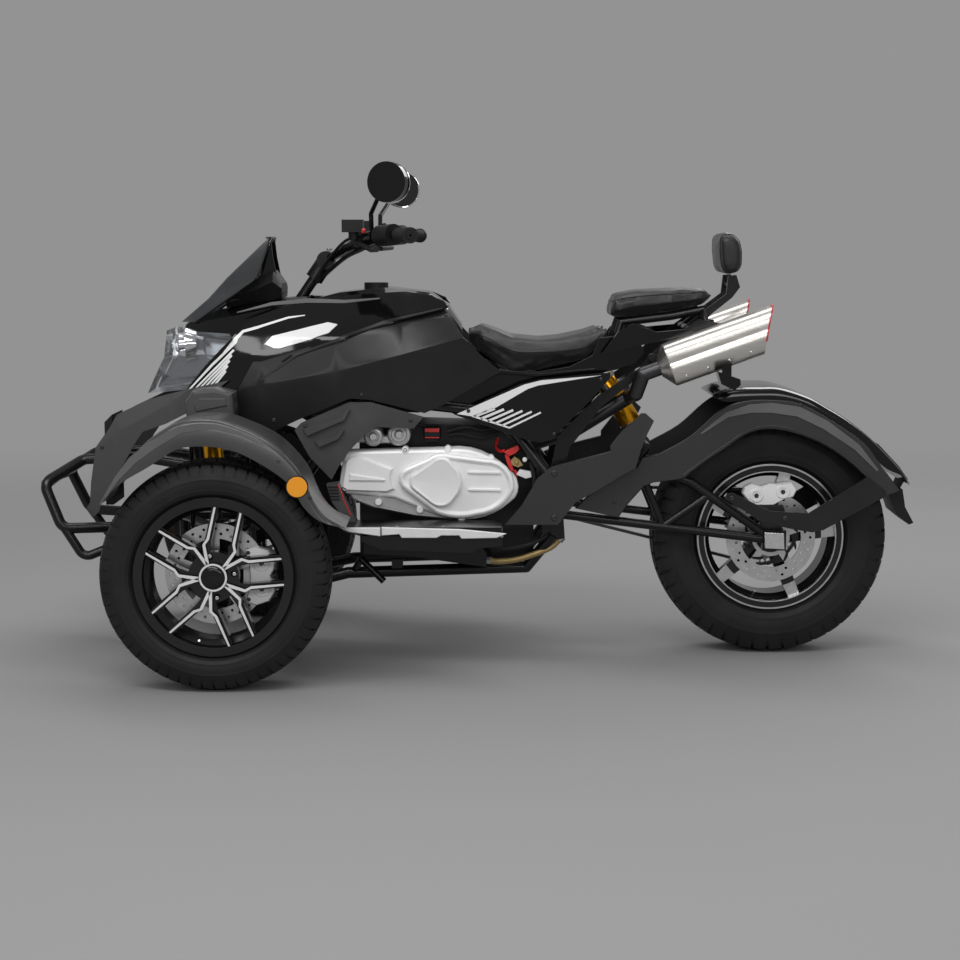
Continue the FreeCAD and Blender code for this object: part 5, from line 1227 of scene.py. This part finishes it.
def make_shock_sleeves():
    """Gold bodies over the shock absorbers, with steel collars."""
    for name, top, low, start, end, radius in SHOCKS:
        axis = (Vector(low) - Vector(top)).normalized()
        sleeve = [(radius - 6, start), (radius - 1, start), (radius, start + 2), (radius, end - 10),
                  (radius - 2, end - 6), (radius - 2, end), (radius - 6, end)]
        Shape().lathe(sleeve, top, axis, 48, True).piece(name + "_shock_sleeve", "gold", slot="shock_steel")
        collars = Shape()
        for place in (start + 6, end - 16):
            collars.lathe([(radius - 2, place - 5), (radius + 1.6, place - 5), (radius + 2.4, place - 4),
                           (radius + 2.4, place + 4), (radius + 1.6, place + 5), (radius - 2, place + 5)],
                          top, axis, 48, True)
        collars.piece(name + "_shock_collars", "steel", slot="steel")


def make_calipers():
    """Cast calipers with piston housings and bolts, in the place of the plain blocks."""
    for side, hand in HANDS:
        hub, axis = side + "_front_hub", (0, hand, 0)
        cast, dark = Shape(), Shape()
        cast.stepped(FRONT_CALIPER, (0, hand * 480), (0, hand * 503), (2.5, hand * 508))
        for z in (312, 248):
            cast.lathe([(21, -16), (21, 0), (19, 2.5), (12, 2.5), (11, 0.5), (0, 0.5)],
                       (-112, hand * 507, z), axis, 36)
            dark.lathe([(0, 2), (6.5, 2), (7, 1.2), (7, -4)], (-112, hand * 508.4, z), axis, 6)
        cast.stepped([(-66, 300), (-84, 300), (-84, 260), (-66, 260)], (0, hand * 478), (0, hand * 492))
        for x, z in ((-80, 338), (-80, 222), (-140, 280)):
            dark.lathe([(0, 3.4), (4.6, 3.4), (5.4, 2.6), (5.4, -6)], (x, hand * 506, z), axis, 6)
        cast.piece(side + "_front_caliper_body", "cast_bright", hub, "cast_steel", angle=26.0,
                   replaces=side + "_front_caliper")
        dark.piece(side + "_front_caliper_bolts", "dark_steel", hub, "steel")
    cast, dark = Shape(), Shape()
    cast.stepped(REAR_CALIPER, (0, 78), (0, 104), (2.5, 109))
    for x, z in ((-1378, 428), (-1448, 438)):
        cast.lathe([(19, -14), (19, 0), (17, 2.5), (11, 2.5), (10, 0.5), (0, 0.5)], (x, 109, z), steps=36)
        dark.lathe([(0, 2), (6, 2), (6.5, 1.2), (6.5, -4)], (x, 110.4, z), steps=6)
    dark.stepped(REAR_CALIPER_BRACKET, (0, 104), (0, 110), (1, 111))
    cast.piece("rear_caliper_body", "cast_bright", slot="cast_steel", angle=26.0, replaces="rear_caliper")
    dark.piece("rear_caliper_bracket", "dark_steel", slot="steel")


# ------------------------------------------------------------------ mufflers
MUFFLER_FRONT, MUFFLER_REAR = Vector((-1135, 225, 782)), Vector((-1382, 225, 872))
# One side of a muffler's section, above and below its crease: outwards from the axis, height
CAN_UPPER = [(0, 54), (20, 54), (36, 47), (45, 35), (48.5, 20), (48.5, 5)]
CAN_LOWER = [(52, 0), (54, -12), (52, -28), (45, -43), (32, -53), (14, -57), (0, -57)]
CAN_TOP, CAN_FOOT = 54, -57
CAN_NOSE = [(-28, 0.42), (-24, 0.5), (-9, 0.86), (-4, 0.97), (1, 1.0)]  # way behind MUFFLER_FRONT, size
CAN_OVERHANG, CAN_SLANT = 30, 60    # the tail's top past MUFFLER_REAR, and its foot ahead of its top
CAN_WALL, CAN_DEPTH = 0.95, 70      # the size of the hollow in the tail, and its floor ahead of MUFFLER_REAR
LIP_RINGS = [(-2.5, 1.012), (2.5, 1.012), (2.5, 0.93), (-2.5, 0.93), (-2.5, 1.012)]     # past the tail, size
LIP_FOOT = -22                      # height at which the lip ends
RIVET_SHARES, RIVET_DROP, RIVET_OUT = (0.1, 0.32, 0.54, 0.76), 38, 48
BRACKET = [(-1086, 806), (-1080, 795), (-1122, 752), (-1150, 762), (-1160, 792), (-1120, 806)]


def make_mufflers():
    """Creased cans with a slanted tail, a red lip, rivets along the lower edge and a bracket to the rail."""
    length = (MUFFLER_REAR - MUFFLER_FRONT).length
    along = (MUFFLER_REAR - MUFFLER_FRONT).normalized()
    up = Vector((along.z, 0, -along.x))
    half = smooth_line(CAN_UPPER, 4) + smooth_line(CAN_LOWER, 4)
    section = [tuple(p) for p in half] + [(-p.x, p.y) for p in reversed(half[1:-1])]

    def tail(height):
        share = min(1.0, max(0.0, (height - CAN_FOOT) / (CAN_TOP - CAN_FOOT)))
        return length + CAN_OVERHANG - CAN_SLANT * (1 - share ** 1.25)

    for side, hand in HANDS:
        start = Vector((MUFFLER_FRONT.x, hand * MUFFLER_FRONT.y, MUFFLER_FRONT.z))

        def ring(reach, size):
            return [start + along * reach(h * size) + up * h * size + Vector((0, hand * d * size, 0))
                    for d, h in section]

        rings = [ring(lambda h: way, size) for way, size in CAN_NOSE]
        rings += [ring(tail, 1.0), ring(tail, CAN_WALL), ring(lambda h: length - CAN_DEPTH, CAN_WALL)]
        Shape().loft(rings).piece(side + "_muffler", "stainless", slot="muffler_steel", angle=28.0,
                                  replaces="mufflers")
        lip = Shape().loft([ring(lambda h: tail(h) + way, size) for way, size in LIP_RINGS], 0, 0)
        lip.faces = [face for face in lip.faces if section[face[0] % len(section)][1] > LIP_FOOT]
        lip.piece(side + "_muffler_lip", "red", slot="muffler_steel")
        rivets = Shape()
        for share in RIVET_SHARES:
            place = MUFFLER_FRONT + along * (length * share) - up * RIVET_DROP
            place.y = hand * (place.y + RIVET_OUT)
            rivets.lathe([(0, 3.0), (2.6, 2.6), (4.4, 1.4), (4.8, -1)], place,
                         Vector((0, hand, 0)) * 0.92 - up * 0.38, 16)
        rivets.piece(side + "_muffler_rivets", "chrome", slot="muffler_steel")
        bracket = Shape().prism(BRACKET, hand * 160, hand * 181)
        bracket.piece(side + "_muffler_bracket", "frame_black", bevel=1.0)


# ------------------------------------------------------------------ small parts
PANEL_BOLTS = {
    # the node that they sit on: x, z, radius
    "peg_covers": [(-840, 500, 8), (-840, 384, 8), (-905, 566, 7)],
    "fender_stay": [(-1305, 430, 7), (-1445, 376, 7), (-1352, 372, 5)],
    "side_panels": [(-120, 640, 6), (-560, 905, 5), (-345, 706, 5)],
    "rear_side_covers": [(-618, 660, 5), (-960, 742, 5), (-840, 600, 5)],
    "cvt_cover": [(x, z, 6.5) for x, z in CVT_BOLTS],
    "nose_panels": [(60, 730, 5), (340, 560, 5), (128, 632, 5)],
    "foot_panels": [(-200, 625, 5), (-470, 640, 5)],
    "rear_shrouds": [(-1060, 552, 6), (-1480, 672, 5), (-1000, 420, 5), (-1662, 440, 5)],
}
FENDER_BOLTS = [(36, 333), (62, 348), (120, 333), (140, 313)]       # angle and distance from the axle
REFLECTOR = (-210, 512)
MIRROR_FRONT, MIRROR_REAR = Vector((-422, 396, 1238)), Vector((-429, 376, 1238))
GRIP_RIBS, RIB_START, RIB_STEP = 16, 18, 5.8
ENGINE_BAY = [
    # name, material, slot, bevel, then the calls of Shape that make it
    ("fuse_box", "plastic", "black_plastic", 1.5,
     ("prism", [(-500, 581), (-545, 581), (-545, 613), (-500, 613)], 118, 146, 3),
     ("prism", [(-503, 574), (-541, 574), (-541, 582), (-503, 582)], 122, 140, 2)),
    ("fuse_box_lid", "red", "black_plastic", 0.6,
     ("prism", [(-503, 600), (-542, 600), (-542, 610), (-503, 610)], 144, 148.5, 1),
     ("prism", [(-503, 584), (-542, 584), (-542, 587), (-503, 587)], 144, 148, 0.5)),
    ("battery_clamp", "red", "black_plastic", 1.0,
     ("prism", [(-708, 548), (-722, 556), (-748, 568), (-752, 556), (-742, 544), (-724, 536)], 140, 156, 2),
     ("prism", [(-712, 540), (-722, 545), (-730, 520), (-738, 498), (-728, 496), (-718, 518)], 142, 149, 1),
     ("pipe", [(-712, 148, 552), (-700, 132, 548), (-690, 110, 560), (-700, 90, 590)], 4.2, 10, 5),
     ("pipe", [(-738, 146, 500), (-744, 142, 486), (-735, 130, 470), (-720, 118, 455)], 3.6, 10, 5)),
    ("battery_terminal", "white", "black_plastic", 1.0,
     ("prism", [(-742, 489), (-752, 503), (-782, 497), (-784, 482), (-768, 477)], 142, 156, 1.5),
     ("lathe", [(0, 5), (5, 4.5), (6.5, 2), (6.5, -6)], (-765, 150, 528), Y_AXIS, 20)),
    ("battery_terminal_plate", "braid", "black_plastic", 0.6,
     ("prism", [(-722, 522), (-738, 536), (-752, 528), (-762, 512), (-748, 506), (-732, 512)], 136, 144, 1),
     ("lathe", [(0, 10), (5, 10), (6, 8), (6, 0)], (-744, 142, 522), Y_AXIS, 6)),
    ("braided_hose", "braid", "steel", 0.0,
     ("pipe", [(-664, 172, 266), (-700, 168, 262), (-745, 160, 266), (-795, 156, 281), (-835, 152, 298),
               (-862, 140, 322)], 8.5, 16, 8)),
    ("hose_ends", "steel", "steel", 0.5,
     ("lathe", [(6, -4), (10.5, -4), (10.5, 12), (9.4, 15), (6, 15)], (-662, 172, 266), (-1, 0, -0.05), 6),
     ("lathe", [(6, -4), (11, -4), (11, 10), (6, 10)], (-858, 142, 316), (-0.6, -0.2, 0.7), 6)),
    ("engine_leads", "grip", "black_plastic", 0.0,
     ("pipe", [(-560, 130, 600), (-610, 132, 612), (-660, 128, 604), (-705, 122, 622), (-740, 118, 650)],
      5.0, 10, 6),
     ("pipe", [(-560, 128, 590), (-600, 134, 594), (-650, 134, 584), (-690, 126, 596), (-730, 118, 620)],
      4.0, 10, 6),
     ("pipe", [(-400, 128, 640), (-440, 134, 628), (-480, 132, 622), (-505, 128, 612)], 4.5, 10, 6),
     ("pipe", [(-780, 140, 520), (-790, 150, 480), (-786, 156, 430), (-800, 152, 380), (-830, 146, 340)],
      5.5, 10, 6),
     ("pipe", [(-800, 138, 560), (-812, 146, 520), (-806, 152, 470), (-818, 152, 420)], 3.6, 10, 6),
     ("pipe", [(-640, 205, 318), (-700, 196, 300), (-760, 180, 304), (-810, 170, 322), (-850, 158, 350)],
      6.0, 12, 6)),
    ("engine_caps", "dark_steel", "steel", 0.5,
     ("lathe", [(0, 8), (7, 8), (8, 6), (8, 2), (13, 2), (14, 0), (14, -8)], (-370, 168, 590), Y_AXIS, 32),
     ("lathe", [(15, 0), (19, 0), (20, 3), (19, 6), (15, 6)], (-370, 166, 590), Y_AXIS, 40, True),
     ("lathe", [(0, 6), (5, 6), (6, 4), (10, 4), (11, 0), (11, -6)], (-421, 168, 580), Y_AXIS, 28),
     ("lathe", [(0, 1), (7.5, 0.8), (8.5, 0), (8.5, -3)], (-295, 213, 456), Y_AXIS, 32)),
]


def make_reflectors():
    for side, hand in HANDS:
        body, axis = side + "_front_hub", (0, hand, 0)
        x, z = REFLECTOR
        found = Skin(side + "_front_fender").top(x, z, hand)
        place = (x, found[0] - hand * 4.7 if found else hand * 599, z)
        cup = [(27, -6), (27.3, 4.0), (26, 4.3), (24.5, 4.3), (24.5, -6)]
        lens = [(0, 4.6), (10, 4.6), (18, 4.55), (23, 4.5), (24.6, 4.4), (24.6, -4)]
        Shape().lathe(cup, place, axis, 48, True).piece(side + "_reflector_cup", "plastic", body)
        Shape().lathe(lens, place, axis, 48).piece(side + "_reflector", "amber", body, "lamp_lens")


def make_bolts():
    skins = {node: Skin(node) for node in PANEL_BOLTS}
    for side, hand in HANDS:
        shape = Shape()
        for node, bolts in PANEL_BOLTS.items():
            for x, z, radius in bolts:
                found = skins[node].hit(x, z, hand)
                if found:
                    shape.bolt(x, found[0], z, radius, hand, 3.2)
        shape.piece(side + "_panel_bolts", "dark_steel", slot="steel")


def make_engine_bay():
    """Fuse box, battery leads, hoses and caps round the engine."""
    for name, material, slot, bevel, *calls in ENGINE_BAY:
        shape = Shape()
        for kind, *values in calls:
            getattr(shape, kind)(*values)
        shape.piece(name, material, slot=slot, bevel=bevel)


def make_controls():
    """Mirror glasses, ribs on the grips, switches, the bar's cables and clamp bolts."""
    body = "handlebar"
    out = (MIRROR_FRONT - MIRROR_REAR).normalized()
    for side, hand in HANDS:
        back = -Vector((out.x, out.y * hand, 0))
        base = (MIRROR_REAR.x, MIRROR_REAR.y * hand, MIRROR_REAR.z)
        rim = Shape().lathe([(46, -1.5), (50.0, -1.0), (50.4, 1.5), (49, 3.0), (46, 0)], base, back, 64, True)
        rim.piece(side + "_mirror_rim", "chrome", body, "steel")
        glass = Shape().lathe([(0, 0.4), (46.5, 0.4), (47, -1)], base, back, 64)
        glass.piece(side + "_mirror_glass", "glass_dark", body)
        ribs = Shape()
        tip, inner = Vector((-478, 420 * hand, 1110)), Vector((-440, 300 * hand, 1112))
        way = (inner - tip).normalized()
        for k in range(GRIP_RIBS):
            ribs.lathe([(17.0, -1.5), (18.6, -0.8), (18.6, 0.8), (17.0, 1.5)],
                       tip + way * (RIB_START + RIB_STEP * k), way, 24, True)
        ribs.piece(side + "_grip_ribs", "grip", body, "grip_rubber")
        switch = Shape().lathe([(0, 5), (5, 4.6), (6, 3), (6, -3)], (-405, hand * 250, 1136), (0.2, 0, 1), 20)
        switch.prism([(-425, 1100), (-437, 1100), (-437, 1108), (-425, 1108)], hand * 268, hand * 288, 1)
        switch.piece(side + "_bar_switches", "red" if hand == RIGHT else "plastic", body, bevel=0.8)
    red = Shape().lathe([(0, 4.5), (4.5, 4.2), (5.5, 2.5), (5.5, -4)], (-352, 232, 1122), (-0.2, 0.6, 1), 20)
    red.piece("horn_button", "red", body)
    cables, clamps = Shape(), Shape()
    for hand in (LEFT, RIGHT):
        cables.pipe([(-345, hand * 176, 1112), (-300, hand * 140, 1096), (-262, hand * 92, 1060),
                     (-232, hand * 52, 1022), (-216, hand * 30, 985)], 4.0, 10, 6)
        cables.pipe([(-372, hand * 208, 1098), (-330, hand * 150, 1072), (-290, hand * 96, 1052),
                     (-252, hand * 44, 1020), (-232, hand * 26, 1000)], 3.2, 10, 6)
        for x in (-248, -272):
            clamps.lathe([(0, 5), (3.5, 5), (5.5, 4), (5.5, -2)], (x, hand * 27, 1072), (0, 0, 1), 20)
    cables.piece("bar_cables", "grip", body)
    clamps.piece("bar_clamp_bolts", "steel", body, "steel")


def make_front_detail():
    """Grille mesh, and the bolts of the front fenders."""
    mesh = Shape()
    for z in range(424, 601, 22):
        mesh.pipe([(326, -66, z), (326, 66, z)], 1.6, 6)
    for y in range(-64, 65, 16):
        mesh.pipe([(325, y, 418), (325, y, 606)], 1.6, 6)
    mesh.piece("grille_mesh", "plastic")
    for side, hand in HANDS:
        skin, shape = Skin(side + "_front_fender"), Shape()
        for angle, radius in FENDER_BOLTS:
            x, z = polar(angle, radius, centre=(0, FRONT_AXLE_Z))
            found = skin.hit(x, z, hand)
            if found:
                shape.bolt(x, found[0] - hand * 3.0, z, 5, hand, 2.8)
        if shape.verts:
            shape.piece(side + "_fender_bolts", "dark_steel", side + "_front_hub", "steel")


def make_pedal_and_boards():
    """Treads and edge of the brake pedal, and studs on the footboards."""
    pad, studs = Shape(), Shape()
    for k in range(5):
        z, front, rear = 436 + 8 * k, -258 - 2.0 * (4 - k), -284 - 1.2 * (4 - k)
        pad.prism([(front, z), (rear, z), (rear, z + 3.4), (front, z + 3.4)], 262.2, 264.2, 0.5)
    pad.piece("pedal_treads", "grip", slot="grip_rubber")
    edge = [(-282, 477), (-285, 477.5), (-303, 430), (-318, 398), (-315, 396), (-300, 428), (-292, 452)]
    Shape().prism(edge, 250, 263.0).piece("pedal_edge", "red")
    for x in (-440, -555):
        for hand in (LEFT, RIGHT):
            studs.lathe([(0, 2.4), (3.5, 2.2), (5, 1), (5, -1)], (x, hand * 404, 386.4), (0, 0, 1), 16)
    for hand in (LEFT, RIGHT):
        studs.lathe([(0, 2.4), (3, 2.2), (4.5, 1), (4.5, -1)], (-702, hand * 424, 367), (0, hand, 0), 16)
    studs.piece("board_studs", "steel", slot="steel")


def make_instruments():
    """Blank display between the bars."""
    glass = Shape().prism([(-58, 999), (-104, 1019.5), (-106, 1016), (-60, 995)], -52, 52)
    glass.piece("display_glass", "glass_dark", bevel=1.0)


# ------------------------------------------------------------------ build
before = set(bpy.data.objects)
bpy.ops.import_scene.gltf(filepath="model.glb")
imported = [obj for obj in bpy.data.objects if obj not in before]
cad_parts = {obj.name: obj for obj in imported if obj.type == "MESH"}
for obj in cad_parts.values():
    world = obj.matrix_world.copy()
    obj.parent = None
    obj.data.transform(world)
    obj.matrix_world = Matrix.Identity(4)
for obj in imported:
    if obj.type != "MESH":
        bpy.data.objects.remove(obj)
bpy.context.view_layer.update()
make_camera()
make_world()
make_lights()
make_floor()
MATERIALS = {name: maker(name, *values) for name, (maker, *values) in LOOKS.items()}
finish_nodes()
make_tyres()
make_front_wheels()
make_rear_wheel()
make_cushions()
make_fairing()
make_transmission()
make_castings()
make_board_edges()
make_seat_fill()
make_shock_sleeves()
make_calipers()
make_highlight_bands()
make_tower_covers()
make_fenders()
make_stickers()
make_headlight()
make_screen_trim()
make_reflectors()
make_bolts()
make_engine_bay()
make_mufflers()
make_controls()
make_front_detail()
make_pedal_and_boards()
make_instruments()

bpy.context.scene.view_settings.view_transform = "Standard"
